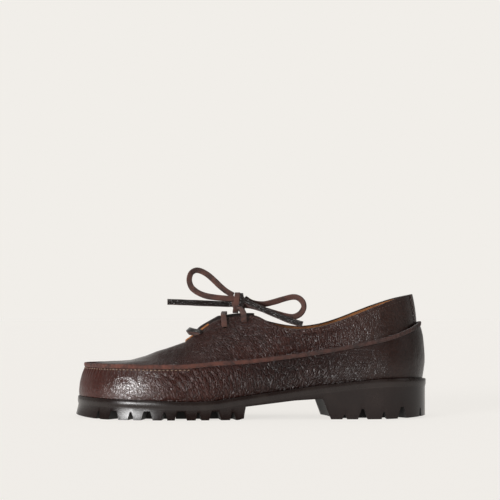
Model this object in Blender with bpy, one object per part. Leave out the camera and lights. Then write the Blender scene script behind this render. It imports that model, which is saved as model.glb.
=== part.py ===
# Camp moccasin for the left foot: grained leather on a lugged rubber sole, laced and tied.
# Metres, +Z up. The toe points along -X and the outer side of the foot is -Y.
# The origin lies on the floor, under the middle of the shoe without its bow.

import math
from bisect import bisect_right
from collections import namedtuple

import bmesh
import bpy
import numpy as np

# Main sizes
LENGTH = 0.296            # outsole, heel to toe
BALL_WIDTH = 0.1040       # outsole across the ball
WAIST_WIDTH = 0.067       # outsole across the arch
HEEL_WIDTH = 0.074        # outsole across the heel
HEEL_HEIGHT = 0.0352      # floor to the upper's lower edge at the heel
BACK_HEIGHT = 0.1034      # floor to the topline at the back
COLLAR_WIDTH = 0.057      # opening for the foot, at its widest
THROAT_WIDTH = 0.019      # between the two facings

# Leather
WALL = 0.0018             # wall of the upper
QUARTER_STEP = 0.0012     # quarter's leather lying on the wall
STRAP_STEP = 0.0009       # back strap lying on the quarters
STRAP_WIDTH = 0.028       # back strap, side to side
SEAM_HEIGHT = 0.0033      # raised seam, its outer face
SEAM_PROUD = 0.0008       # raised seam, out from the lower panel
SEAM_THICK = 0.0022       # raised seam, across its top
SEAM_RISE = 0.0012        # raised seam, up from what it encloses
TONGUE_THICK = 0.0020
INSOLE_THICK = 0.0035
EYELET_RADIUS = 0.0022

# Rubber
TOE_SPRING = 0.0023       # lift of the sole's tip
HEEL_LIFT = 0.0020        # lift of the heel's back edge
TOE_FLARE = 0.0018        # how far the sole's wall leans out at the toe
BAND_HEIGHT = 0.0048      # band along the sole's upper edge
BAND_PROUD = 0.0006       # how far it stands out
LUG_DEPTH = 0.0071
LUG_PITCH = 0.0280
LUG_REACH = 0.0170        # length of the side lugs, inward
CHANNEL_WIDTH = 0.0040    # groove behind the side lugs
CHANNEL_DEPTH = 0.0050
BREAST_HOLLOW = 0.0050    # how far the heel's front face is hollowed
BREAST_SKEW = 0.0080      # how much further forward it starts on the inner side

# Thong
THONG_WIDTH = 0.0043
THONG_THICK = 0.0021
THONG_ROUND = 0.0032      # diameter of the plain round tube that stands for the flat thong
KNOT_SIZE = (0.0074, 0.0100, 0.0160)

# Clearances
GAP = 0.0003              # between pieces that touch on the real shoe
TONGUE_GAP = 0.0011       # between the facings and the tongue, both curved
CUT = 0.0040              # how far a cutter passes beyond what it cuts

# Round ends of the outlines, as shares of the length
HEEL_ROUND = 0.125
TOE_ROUND = 0.175
COLLAR_ROUND = 0.110

# Outsole seen from above: share of the length from the heel, centre line and width
Section = namedtuple("Section", "share centre width")
OUTLINE = (
    Section(0.00, 0.000 * BALL_WIDTH, 0.98 * HEEL_WIDTH),
    Section(0.12, 0.000 * BALL_WIDTH, 1.00 * HEEL_WIDTH),
    Section(0.25, -0.007 * BALL_WIDTH, 0.96 * HEEL_WIDTH),
    Section(0.38, -0.038 * BALL_WIDTH, 1.00 * WAIST_WIDTH),
    Section(0.50, -0.056 * BALL_WIDTH, 1.14 * WAIST_WIDTH),
    Section(0.62, -0.042 * BALL_WIDTH, 0.875 * BALL_WIDTH),
    Section(0.70, -0.016 * BALL_WIDTH, 0.965 * BALL_WIDTH),
    Section(0.77, 0.014 * BALL_WIDTH, 1.00 * BALL_WIDTH),
    Section(0.88, 0.064 * BALL_WIDTH, 0.98 * BALL_WIDTH),
    Section(1.00, 0.122 * BALL_WIDTH, 0.92 * BALL_WIDTH),
)

# Height of the outsole's upper edge
Height = namedtuple("Height", "share height")
SOLE_TOP = (
    Height(0.00, 0.925 * HEEL_HEIGHT),
    Height(0.05, 0.955 * HEEL_HEIGHT),
    Height(0.15, 0.932 * HEEL_HEIGHT),
    Height(0.33, 0.765 * HEEL_HEIGHT),
    Height(0.43, 0.650 * HEEL_HEIGHT),
    Height(0.53, 0.533 * HEEL_HEIGHT),
    Height(0.59, 0.456 * HEEL_HEIGHT),
    Height(0.65, 0.425 * HEEL_HEIGHT),
    Height(0.79, 0.455 * HEEL_HEIGHT),
    Height(1.00, 0.506 * HEEL_HEIGHT),
)

# Underside of the waist, from the last lug of the forefoot to the heel's front face
WAIST_PROFILE = (
    Height(0.533, 0.000 * HEEL_HEIGHT),
    Height(0.517, 0.035 * HEEL_HEIGHT),
    Height(0.516, 0.118 * HEEL_HEIGHT),
    Height(0.512, 0.304 * HEEL_HEIGHT),
    Height(0.430, 0.384 * HEEL_HEIGHT),
    Height(0.378, 0.436 * HEEL_HEIGHT),
    Height(0.299, 0.480 * HEEL_HEIGHT),
)
BREAST_FOOT = 0.276       # share of the length where the heel's front face meets the floor

# Upper seen from above, inward from the outsole's outline: lower edge, raised seam, ledge behind
# the seam, and how far lower panel and quarter swell between their edges
Wrap = namedtuple("Wrap", "share edge seam ledge swell quarter")
UPPER = (
    Wrap(0.00, 0.0028, 0.0040, 0.0058, 0.0028, 0.0004),
    Wrap(0.06, 0.0028, 0.0039, 0.0052, 0.0024, 0.0006),
    Wrap(0.25, 0.0030, 0.0045, 0.0046, 0.0030, 0.0016),
    Wrap(0.45, 0.0031, 0.0056, 0.0044, 0.0030, 0.0034),
    Wrap(0.60, 0.0032, 0.0064, 0.0044, 0.0030, 0.0042),
    Wrap(0.75, 0.0034, 0.0070, 0.0046, 0.0028, 0.0030),
    Wrap(1.00, 0.0026, 0.0070, 0.0048, 0.0017, 0.0000),
)

# Height of the raised seam's top
SEAM_TOP = (
    Height(0.00, 0.780 * BACK_HEIGHT),
    Height(0.03, 0.735 * BACK_HEIGHT),
    Height(0.09, 0.676 * BACK_HEIGHT),
    Height(0.17, 0.622 * BACK_HEIGHT),
    Height(0.28, 0.562 * BACK_HEIGHT),
    Height(0.36, 0.525 * BACK_HEIGHT),
    Height(0.50, 0.477 * BACK_HEIGHT),
    Height(0.59, 0.462 * BACK_HEIGHT),
    Height(0.68, 0.438 * BACK_HEIGHT),
    Height(0.86, 0.439 * BACK_HEIGHT),
    Height(1.00, 0.442 * BACK_HEIGHT),
)

# Topline: collar from the back to the front of the opening, then the facings down to the throat.
# The last column says where the inner side is raised.
Edge = namedtuple("Edge", "share width height raised")
TOPLINE = (
    Edge(0.045, 1.00 * COLLAR_WIDTH, 0.998 * BACK_HEIGHT, 0.0),
    Edge(0.091, 0.98 * COLLAR_WIDTH, 0.962 * BACK_HEIGHT, 0.3),
    Edge(0.145, 0.97 * COLLAR_WIDTH, 0.903 * BACK_HEIGHT, 0.8),
    Edge(0.198, 0.98 * COLLAR_WIDTH, 0.842 * BACK_HEIGHT, 1.0),
    Edge(0.254, 1.00 * COLLAR_WIDTH, 0.779 * BACK_HEIGHT, 1.0),
    Edge(0.304, 0.99 * COLLAR_WIDTH, 0.736 * BACK_HEIGHT, 1.0),
    Edge(0.358, 0.95 * COLLAR_WIDTH, 0.714 * BACK_HEIGHT, 1.0),
    Edge(0.402, 0.87 * COLLAR_WIDTH, 0.727 * BACK_HEIGHT, 0.8),
    Edge(0.441, 0.73 * COLLAR_WIDTH, 0.762 * BACK_HEIGHT, 0.4),
    Edge(0.488, 0.44 * COLLAR_WIDTH, 0.822 * BACK_HEIGHT, 0.0),
    Edge(0.550, 1.12 * THROAT_WIDTH, 0.809 * BACK_HEIGHT, 0.0),
    Edge(0.595, 1.06 * THROAT_WIDTH, 0.780 * BACK_HEIGHT, 0.0),
    Edge(0.645, 1.00 * THROAT_WIDTH, 0.684 * BACK_HEIGHT, 0.0),
    Edge(0.680, 0.96 * THROAT_WIDTH, 0.614 * BACK_HEIGHT, 0.0),
)
BACK = TOPLINE[0].share
THROAT = TOPLINE[-1].share
INNER_RISE = 0.0018       # how much higher the collar is on the inner side
TOPLINE_SHIFT = 0.35      # how much of the outline's sideways curve the topline follows

# Apron's lift off the straight line from seam to throat, down the middle of the toe
Lift = namedtuple("Lift", "share lift")
APRON = (
    Lift(0.00, 0.0000),
    Lift(0.10, -0.0004),
    Lift(0.28, -0.0046),
    Lift(0.47, -0.0043),
    Lift(0.63, -0.0030),
    Lift(0.80, -0.0016),
    Lift(1.00, 0.0000),
)

# Rows of the upper's wall: shares of the way up the lower panel, and from seam to topline
PANEL_ROWS = (0.0, 0.2, 0.45, 0.7, 0.9, 1.0)
TOP_ROWS = (0.0, 0.1, 0.3, 0.5, 0.7, 0.88, 1.0)
MERIDIANS = 72

# Tongue: crest height, from the collar's front down to the throat
CREST = (
    Height(0.480, 0.838 * BACK_HEIGHT),
    Height(0.495, 0.847 * BACK_HEIGHT),
    Height(0.540, 0.844 * BACK_HEIGHT),
    Height(0.574, 0.830 * BACK_HEIGHT),
    Height(0.598, 0.806 * BACK_HEIGHT),
    Height(0.655, 0.710 * BACK_HEIGHT),
    Height(0.672, 0.645 * BACK_HEIGHT),
)
TONGUE_STATIONS = (0.490, 0.512, 0.540, 0.568, 0.595, 0.622, 0.645, 0.663)
TONGUE_TUCK = 0.0055      # how far the tongue's root reaches under the apron

# Eyelets of each side, from the front: share of the length, and of the way from seam to facing
Eyelet = namedtuple("Eyelet", "share way")
EYELETS = (Eyelet(0.637, 0.82), Eyelet(0.572, 0.74), Eyelet(0.518, 0.84))

# Lace bars over the tongue: eyelet, how far the middle runs forward, its height over the tongue
Bar = namedtuple("Bar", "name eyelet forward over")
BARS = (Bar("lace_bar_front", 0, 0.0105, 0.0020), Bar("lace_bar_middle", 1, 0.0005, 0.0003))

# Places of lug gaps: share of the length, width at the floor, width at the top, depth
Gap = namedtuple("Gap", "share foot top depth")
WIDE_FIRST, WIDE_COUNT = 0.596, 4
NARROW_FIRST, NARROW_COUNT = 0.547, 5
HEEL_GAPS = (
    Gap(0.020, 0.0040, 0.0012, 1.00 * LUG_DEPTH),
    Gap(0.075, 0.0090, 0.0030, 1.30 * LUG_DEPTH),
    Gap(0.128, 0.0040, 0.0012, 0.80 * LUG_DEPTH),
    Gap(0.187, 0.0080, 0.0020, 1.20 * LUG_DEPTH),
    Gap(0.237, 0.0040, 0.0012, 0.50 * LUG_DEPTH),
)

# Bow: points of each strand, chosen by hand, from the knot outward
LOOP_TOE = (
    (-0.0144, 0.0026, 0.1026), (-0.0205, 0.0040, 0.1060), (-0.0256, 0.0050, 0.1102),
    (-0.0306, 0.0060, 0.1150), (-0.0357, 0.0066, 0.1196), (-0.0408, 0.0068, 0.1230),
    (-0.0454, 0.0062, 0.1240), (-0.0496, 0.0044, 0.1217), (-0.0512, 0.0016, 0.1158),
    (-0.0496, -0.0010, 0.1100), (-0.0458, -0.0026, 0.1066), (-0.0408, -0.0036, 0.1042),
    (-0.0357, -0.0040, 0.1025), (-0.0289, -0.0038, 0.1012), (-0.0205, -0.0030, 0.1002),
    (-0.0137, -0.0022, 0.0998),
)
LOOP_HEEL = (
    (-0.0048, 0.0028, 0.1000), (0.0015, 0.0040, 0.0963), (0.0108, 0.0042, 0.0950),
    (0.0201, 0.0028, 0.0969), (0.0277, -0.0004, 0.0992), (0.0354, -0.0052, 0.1010),
    (0.0404, -0.0092, 0.1002), (0.0441, -0.0132, 0.0966), (0.0448, -0.0170, 0.0922),
    (0.0425, -0.0196, 0.0877), (0.0386, -0.0204, 0.0850), (0.0335, -0.0192, 0.0842),
    (0.0250, -0.0140, 0.0862), (0.0150, -0.0080, 0.0892), (0.0049, -0.0026, 0.0925),
    (-0.0012, 0.0004, 0.0938), (-0.0050, 0.0012, 0.0942),
)
END_TOE = (
    (-0.0137, 0.0016, 0.0949), (-0.0200, 0.0012, 0.0950), (-0.0300, -0.0004, 0.0954),
    (-0.0400, -0.0024, 0.0958), (-0.0500, -0.0046, 0.0962), (-0.0600, -0.0068, 0.0966),
    (-0.0695, -0.0086, 0.0969),
)
END_HEEL = (
    (-0.0050, -0.0036, 0.0976), (0.0000, -0.0066, 0.0955), (0.0049, -0.0098, 0.0934),
    (0.0134, -0.0156, 0.0895), (0.0218, -0.0216, 0.0857), (0.0303, -0.0272, 0.0822),
    (0.0387, -0.0314, 0.0794), (0.0430, -0.0328, 0.0782),
)
KNOT_PLACE = (-0.0096, 0.0, 0.0970)
STRAND_STEP = 0.0070      # between the points of a tube


# Curves through tables

def follow(rows, column, share):
    """Value of a column at a share, on a smooth curve through the table's rows."""
    places = [row.share for row in rows]
    values = [getattr(row, column) for row in rows]
    if share <= places[0]:
        return values[0]
    if share >= places[-1]:
        return values[-1]
    last = len(rows) - 1
    i = bisect_right(places, share) - 1

    def slope(k):
        low, high = max(k - 1, 0), min(k + 1, last)
        return (values[high] - values[low]) / (places[high] - places[low])

    span = places[i + 1] - places[i]
    t = (share - places[i]) / span
    return (
        (2 * t**3 - 3 * t**2 + 1) * values[i]
        + (t**3 - 2 * t**2 + t) * span * slope(i)
        + (3 * t**2 - 2 * t**3) * values[i + 1]
        + (t**3 - t**2) * span * slope(i + 1)
    )


def round_end(way, reach):
    """Share of the full width at a distance from a round end."""
    return math.sqrt(max(0.0, 1 - (1 - min(way / reach, 1.0)) ** 2))


def unit(vector):
    return vector / np.linalg.norm(vector)


# Outline. A turn goes once round the shoe: 0 at the heel, outer side, 0.5 at the toe, inner side.

def share_of(turn):
    return (1 - math.cos(2 * math.pi * turn)) / 2


def turn_of(share):
    return math.acos(1 - 2 * share) / (2 * math.pi)


def side_of(turn):
    return -1.0 if turn % 1 < 0.5 else 1.0


def x_at(share):
    return LENGTH * (0.5 - share)


def raw_outline(turn):
    share = share_of(turn)
    half = follow(OUTLINE, "width", share) / 2
    half *= round_end(share, HEEL_ROUND) * round_end(1 - share, TOE_ROUND)
    return np.array((x_at(share), follow(OUTLINE, "centre", share) + side_of(turn) * half))


OUTER_SIDE = min(raw_outline(i / 400)[1] for i in range(400))
INNER_SIDE = max(raw_outline(i / 400)[1] for i in range(400))
MIDDLE = np.array((0.0, (OUTER_SIDE + INNER_SIDE) / 2))


def inward(turn):
    """Direction square to the outline, into the shoe."""
    step = 0.0005
    along = raw_outline(turn + step) - raw_outline(turn - step)
    return unit(np.array((along[1], -along[0])))


def outline(turn, inset):
    return raw_outline(turn) - MIDDLE + inset * inward(turn)


def at_height(flat, height):
    return np.array((flat[0], flat[1], height))


def on_sole(flat, above):
    """A place seen from above, at a height over the sole's upper face."""
    return at_height(flat, follow(SOLE_TOP, "height", 0.5 - flat[0] / LENGTH) + above)


def sole_floor(share):
    """Height of the tread: flat but for the toe spring and the heel's rounded back edge."""
    toe_part, heel_part = 0.112, 0.19
    toe = max(0.0, (share - 1 + toe_part) / toe_part)
    heel = max(0.0, (heel_part - share) / heel_part)
    return TOE_SPRING * toe**2 + HEEL_LIFT * heel**2


# Upper's own function

def seam_top(share):
    return follow(SEAM_TOP, "height", share)


def panel_point(turn, way):
    """Lower panel, from its lower edge (way 0) to the raised seam (way 1)."""
    share = share_of(turn)
    wrap = {name: follow(UPPER, name, share) for name in ("edge", "seam", "swell")}
    inset = wrap["edge"] + (wrap["seam"] + SEAM_PROUD - wrap["edge"]) * way
    swell = wrap["swell"] * 4 * way * (1 - way)
    point = on_sole(outline(turn, inset - swell), GAP)
    point[2] += (seam_top(share) - SEAM_HEIGHT - point[2]) * way
    return point


def seam_point(turn, inset, drop):
    share = share_of(turn)
    return at_height(outline(turn, follow(UPPER, "seam", share) + inset), seam_top(share) - drop)


def topline_point(turn):
    """Topline for each turn. Those round the toe all end on the throat's short front edge."""
    side = side_of(turn)
    half_turn = turn % 1 if side < 0 else 1 - turn % 1
    last = turn_of(THROAT)
    share = min(share_of(turn), THROAT)
    share += BACK * (1 - share / THROAT)
    half = follow(TOPLINE, "width", share) / 2 * round_end(share - BACK, COLLAR_ROUND)
    if half_turn > last:
        half *= (0.5 - half_turn) / (0.5 - last)
    centre = TOPLINE_SHIFT * follow(OUTLINE, "centre", share) - MIDDLE[1]
    height = follow(TOPLINE, "height", share)
    if side > 0:
        height += INNER_RISE * follow(TOPLINE, "raised", share)
    return np.array((x_at(share), centre + side * half, height))


def toe_part(turn):
    """0 along the quarters, rising to 1 at the tip of the toe."""
    last = turn_of(THROAT)
    half_turn = min(turn % 1, 1 - turn % 1)
    part = max(0.0, (half_turn - last) / (0.5 - last))
    return part * part * (3 - 2 * part)


def top_point(turn, way):
    """Apron and quarters, from behind the raised seam (way 0) to the topline (way 1)."""
    share = share_of(turn)
    low = seam_point(turn, follow(UPPER, "ledge", share), SEAM_RISE)
    high = topline_point(turn)
    chord = high - low
    across = math.hypot(chord[0], chord[1])
    out = np.array((-chord[0] * chord[2] / across, -chord[1] * chord[2] / across, across))
    toe = toe_part(turn)
    swell = follow(UPPER, "quarter", share) * 4 * way * (1 - way) * (1 - toe)
    return low + chord * way + unit(out) * (swell + toe * follow(APRON, "lift", way))


def outward(surface, turn, way):
    """Direction square to the upper, out of the shoe."""
    step, turn_step = 0.02, 0.002
    up = surface(turn, min(way + step, 1.0)) - surface(turn, max(way - step, 0.0))
    along = surface(turn + turn_step, way) - surface(turn - turn_step, way)
    return unit(np.cross(up, along))


def offset(surface, turn, way, distance):
    return surface(turn, way) + distance * outward(surface, turn, way)


def leather_steps(turn):
    """Thickness lying on the wall above the seam: quarters behind the throat, strap at the back."""
    step = QUARTER_STEP if share_of(turn) < THROAT else 0.0
    half_turn = min(turn % 1, 1 - turn % 1)
    return step + (STRAP_STEP if half_turn < strap_turn() else 0.0)


def strap_turn():
    """Turn at the strap's edge, where the outline is half a strap away from the middle."""
    half_heel = HEEL_WIDTH / 2
    fall = 1 - math.sqrt(1 - (STRAP_WIDTH / 2 / half_heel) ** 2)
    return turn_of(HEEL_ROUND * fall)


def upper_turns():
    """Turns of the meridians, with a close pair at each edge of quarter and strap."""
    close = 0.0005
    half = [i / MERIDIANS for i in range(1, MERIDIANS // 2)]
    for edge in (turn_of(THROAT), strap_turn()):
        half = [t for t in half if abs(t - edge) > 0.4 / MERIDIANS]
        half += [edge - close, edge + close]
    half.sort()
    return [0.0] + half + [0.5] + [1 - t for t in reversed(half)]


# Meshes

def new_object(name, vertices, faces, colour, roughness):
    mesh = bpy.data.meshes.new(name)
    mesh.from_pydata([tuple(v) for v in vertices], [], faces)
    body = bmesh.new()
    body.from_mesh(mesh)
    bmesh.ops.recalc_face_normals(body, faces=body.faces[:])
    bmesh.ops.triangulate(body, faces=body.faces[:])
    body.to_mesh(mesh)
    body.free()
    made = bpy.data.objects.new(name, mesh)
    bpy.context.scene.collection.objects.link(made)
    if colour:
        made.data.materials.append(finish(name, colour, roughness))
    return made


def finish(name, colour, roughness):
    material = bpy.data.materials.new(name)
    material.use_nodes = True
    shader = material.node_tree.nodes["Principled BSDF"]
    shader.inputs["Base Color"].default_value = (*colour, 1.0)
    shader.inputs["Roughness"].default_value = roughness
    shader.inputs["Metallic"].default_value = 0.0
    return material


def tube_faces(rings, count, close_rings):
    """Quads between successive rings, each ring closed on itself."""
    faces = []
    for i in range(rings if close_rings else rings - 1):
        here, there = i * count, (i + 1) % rings * count
        for k in range(count):
            after = (k + 1) % count
            faces.append((here + k, here + after, there + after, there + k))
    return faces


def slab(name, rings, colour, roughness):
    """Solid between rings that share the same turns, its two ends closed side to side."""
    count = len(rings[0])
    half = count // 2
    faces = tube_faces(len(rings), count, close_rings=False)
    for ring in (0, len(rings) - 1):
        base = ring * count
        for k in range(half):
            corners = (k, k + 1, count - k - 1, (count - k) % count)
            faces.append(tuple(base + c for c in dict.fromkeys(corners)))
    return new_object(name, [p for ring in rings for p in ring], faces, colour, roughness)


def sheet_solid(name, outer, inner, colour, roughness):
    """Solid between two open grids of points with the same rows and columns."""
    rows, columns = len(outer), len(outer[0])
    points = [p for grid in (outer, inner) for row in grid for p in row]
    other = rows * columns
    faces = []
    for i in range(rows - 1):
        for k in range(columns - 1):
            a = i * columns + k
            quad = (a, a + 1, a + columns + 1, a + columns)
            faces.append(quad)
            faces.append(tuple(other + c for c in reversed(quad)))
    rim = [k for k in range(columns)]
    rim += [i * columns + columns - 1 for i in range(1, rows)]
    rim += [(rows - 1) * columns + k for k in range(columns - 2, -1, -1)]
    rim += [i * columns for i in range(rows - 2, 0, -1)]
    for a, b in zip(rim, rim[1:] + rim[:1]):
        faces.append((a, b, other + b, other + a))
    return new_object(name, points, faces, colour, roughness)


def cutter(name, bodies):
    """One hidden object of several closed bodies, each a list of points and a list of faces."""
    points, faces = [], []
    for body_points, body_faces in bodies:
        start = len(points)
        points += body_points
        faces += [tuple(start + c for c in face) for face in body_faces]
    made = new_object(name, points, faces, None, None)
    made.hide_render = True
    made.display_type = "WIRE"
    return made


def cut(body, tool):
    modifier = body.modifiers.new(tool.name, "BOOLEAN")
    modifier.operation = "DIFFERENCE"
    modifier.solver = "EXACT"
    modifier.object = tool


def box_faces():
    return [(0, 1, 2, 3), (7, 6, 5, 4), (0, 4, 5, 1), (1, 5, 6, 2), (2, 6, 7, 3), (3, 7, 4, 0)]


def loft_body(sections):
    """Closed body through sections of as many points each."""
    count = len(sections[0])
    faces = tube_faces(len(sections), count, close_rings=False)
    last = (len(sections) - 1) * count
    faces.append(tuple(range(count)))
    faces.append(tuple(last + k for k in reversed(range(count))))
    return [p for section in sections for p in section], faces


# Sole

def outsole():
    turns = [i / MERIDIANS for i in range(MERIDIANS)]

    foot, below_band, band, top = [], [], [], []
    for turn in turns:
        share = share_of(turn)
        flare = TOE_FLARE * share
        foot.append(at_height(outline(turn, BAND_PROUD * (1 - share)), sole_floor(share)))
        below_band.append(on_sole(outline(turn, BAND_PROUD + 0.75 * flare), -BAND_HEIGHT))
        band.append(on_sole(outline(turn, 0.75 * flare), -BAND_HEIGHT))
        top.append(on_sole(outline(turn, flare), 0.0))
    rings = [foot, below_band, band, top]
    body = slab("outsole", rings, (0.022, 0.019, 0.018), 0.55)
    cut(body, waist_cutter())
    cut(body, gap_cutter())
    cut(body, channel_cutter())
    cut(body, groove_cutter())
    return body


def waist_cutter():
    """The hollow under the arch. Its rear side is the heel's front face, hollowed and skewed."""
    slices = 9
    reach = BALL_WIDTH / 2 + CUT
    sections = []
    for i in range(slices):
        y = reach * (2 * i / (slices - 1) - 1)
        side = max(-1.0, min(1.0, y / (HEEL_WIDTH / 2)))
        breast = BREAST_HOLLOW * (1 - side * side) - BREAST_SKEW * (side + 1) / 2
        front = WAIST_PROFILE[0]
        section = [np.array((x_at(front.share), y, front.height - CUT))]
        section += [np.array((x_at(row.share), y, row.height)) for row in WAIST_PROFILE]
        section[-1][0] += breast
        section.append(np.array((x_at(BREAST_FOOT) + breast, y, 0.0)))
        section.append(np.array((x_at(BREAST_FOOT) + breast, y, -CUT)))
        sections.append(section)
    return cutter("waist_cut", [loft_body(sections)])


def all_gaps():
    gaps = list(HEEL_GAPS)
    for k in range(WIDE_COUNT):
        share = WIDE_FIRST + k * LUG_PITCH / LENGTH
        gaps.append(Gap(share, 0.0100, 0.0055, LUG_DEPTH))
    for k in range(NARROW_COUNT):
        share = NARROW_FIRST + k * LUG_PITCH / LENGTH
        gaps.append(Gap(share, 0.0050, 0.0016, 0.88 * LUG_DEPTH))
    return gaps


def gap_cutter():
    """Wedges between the side lugs, square to the outline on both sides."""
    bodies = []
    for gap in all_gaps():
        for turn in (turn_of(gap.share), 1 - turn_of(gap.share)):
            into = at_height(inward(turn), 0.0)
            along = np.array((-into[1], into[0], 0.0))
            edge = at_height(outline(turn, 0.0), 0.0)
            top = sole_floor(gap.share) + gap.depth
            slope = (gap.foot - gap.top) / 2 / gap.depth
            points = []
            for way in (-CUT, LUG_REACH):
                for half, height in ((gap.foot / 2 + slope * CUT, -CUT), (gap.top / 2, top)):
                    for sign in (-1, 1):
                        points.append(edge + way * into + sign * half * along + (0, 0, height))
            order = (0, 1, 3, 2, 4, 5, 7, 6)
            bodies.append(([points[k] for k in order], box_faces()))
    return cutter("lug_gaps", bodies)


def channel_cutter():
    """Grooves behind the side lugs, one round the forefoot and one round the heel."""
    bodies = []
    rows = 24
    toe = (turn_of(0.565), 1 - turn_of(0.565))
    heel = (-turn_of(0.225), turn_of(0.225))
    for first, last in (toe, heel):
        sections = []
        for i in range(rows + 1):
            turn = first + (last - first) * i / rows
            near = outline(turn, LUG_REACH - GAP)
            far = outline(turn, LUG_REACH + CHANNEL_WIDTH)
            top = sole_floor(share_of(turn)) + CHANNEL_DEPTH
            corners = ((near, -CUT), (far, -CUT), (far, top), (near, top))
            sections.append([at_height(flat, height) for flat, height in corners])
        bodies.append(loft_body(sections))
    return cutter("channels", bodies)


def groove_cutter():
    """Cross grooves that part the middle of the tread into bars."""
    bodies = []
    shares = [WIDE_FIRST + (k + 0.25) * LUG_PITCH / LENGTH for k in range(WIDE_COUNT)]
    for share in shares + [0.150]:
        turn = turn_of(share)
        x = x_at(share)
        outer = outline(turn, LUG_REACH + CHANNEL_WIDTH / 2)[1]
        inner = outline(1 - turn, LUG_REACH + CHANNEL_WIDTH / 2)[1]
        half = CHANNEL_WIDTH / 2
        points = []
        for height in (-CUT, CHANNEL_DEPTH):
            for dx, y in ((-half, outer), (half, outer), (half, inner), (-half, inner)):
                points.append(np.array((x + dx, y, height)))
        bodies.append((points, box_faces()))
    return cutter("cross_grooves", bodies)


def insole():
    turns = [i / MERIDIANS for i in range(MERIDIANS)]
    rings = []
    for height in (GAP, GAP + INSOLE_THICK):
        ring = []
        for turn in turns:
            share = share_of(turn)
            inset = follow(UPPER, "edge", share) + WALL + 3 * GAP
            ring.append(on_sole(outline(turn, inset), height))
        rings.append(ring)
    return slab("insole", rings, (0.33, 0.17, 0.07), 0.7)


# Upper

def upper():
    rings = []
    turns = upper_turns()
    for way in PANEL_ROWS:
        rings.append([panel_point(turn, way) for turn in turns])
    rings.append([seam_point(turn, 0.0, SEAM_HEIGHT) for turn in turns])
    rings.append([seam_point(turn, 0.0, 0.0) for turn in turns])
    rings.append([seam_point(turn, SEAM_THICK, 0.0) for turn in turns])
    rings.append([seam_point(turn, SEAM_THICK + GAP, SEAM_RISE) for turn in turns])
    for way in TOP_ROWS:
        rings.append([offset(top_point, turn, way, leather_steps(turn)) for turn in turns])
    for way in reversed(TOP_ROWS):
        rings.append([offset(top_point, turn, way, -WALL) for turn in turns])
    for way in reversed(PANEL_ROWS[:-1]):
        ring = [offset(panel_point, turn, way, -WALL) for turn in turns]
        if way == 0.0:
            ring = [on_sole(point, GAP) for point in ring]
        rings.append(ring)
    faces = tube_faces(len(rings), len(turns), close_rings=True)
    points = [p for ring in rings for p in ring]
    body = new_object("upper", points, faces, (0.055, 0.020, 0.014), 0.42)
    cut(body, eyelet_cutter())
    return body


def topline_turn(share):
    """Turn whose meridian ends at a share of the topline."""
    return turn_of((share - BACK) / (1 - BACK / THROAT))


def eyelet_turns(eyelet):
    turn = topline_turn(eyelet.share)
    return turn, 1 - turn


def eyelet_cutter():
    sides = 8
    bodies = []
    for eyelet in EYELETS:
        for turn in eyelet_turns(eyelet):
            place = top_point(turn, eyelet.way)
            out = outward(top_point, turn, eyelet.way)
            first = unit(np.cross(out, (0.0, 1.0, 0.0)))
            second = np.cross(out, first)
            sections = []
            for depth in (-CUT, CUT):
                section = []
                for k in range(sides):
                    angle = 2 * math.pi * k / sides
                    spoke = math.cos(angle) * first + math.sin(angle) * second
                    section.append(place + depth * out + EYELET_RADIUS * spoke)
                sections.append(section)
            bodies.append(loft_body(sections))
    return cutter("eyelet_holes", bodies)


# Tongue

def tongue_row(share):
    """Points across the tongue: under one facing, over the crest, under the other."""
    turn = topline_turn(share)
    depth = -(WALL + TONGUE_GAP)
    ways = (0.70, 0.85, 1.0)
    outer = [offset(top_point, turn, way, depth) for way in ways]
    inner = [offset(top_point, 1 - turn, way, depth) for way in reversed(ways)]
    left, right = outer[-1], inner[0]
    crest = follow(CREST, "height", share)
    middle = []
    for part in (0.2, 0.5, 0.8):
        point = left + (right - left) * part
        point[2] += (crest - point[2]) * (1 - (2 * part - 1) ** 2)
        middle.append(point)
    return outer + middle + inner


def tongue():
    rows = [tongue_row(share) for share in TONGUE_STATIONS]
    front = topline_point(0.5)
    root = []
    for point in rows[-1]:
        tucked = point.copy()
        tucked[0] = front[0] - TONGUE_TUCK
        tucked[1] = front[1] + (point[1] - front[1]) * 0.5
        tucked[2] = front[2] - WALL - 5 * TONGUE_THICK
        root.append(tucked)
    rows.append(root)
    inner = []
    for i, row in enumerate(rows):
        before, after = rows[max(i - 1, 0)], rows[min(i + 1, len(rows) - 1)]
        inner_row = []
        for k, point in enumerate(row):
            along = after[k] - before[k]
            across = row[min(k + 1, len(row) - 1)] - row[max(k - 1, 0)]
            normal = unit(np.cross(along, across))
            if normal[2] < 0:
                normal = -normal
            inner_row.append(point - TONGUE_THICK * normal)
        inner.append(inner_row)
    return sheet_solid("tongue", rows, inner, (0.040, 0.016, 0.012), 0.45)


# Lace

def thong(name, path, widths, ups):
    """Flat strip along a path, with its width and thickness directions at each point."""
    sections = []
    for place, width, up in zip(path, widths, ups):
        side = unit(width) * THONG_WIDTH / 2
        lift = unit(up - np.dot(up, unit(width)) * unit(width)) * THONG_THICK / 2
        corners = ((-1, -1), (1, -1), (1, 1), (-1, 1))
        sections.append([place + a * side + b * lift for a, b in corners])
    points, faces = loft_body(sections)
    return new_object(name, points, faces, (0.075, 0.030, 0.022), 0.5)


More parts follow.
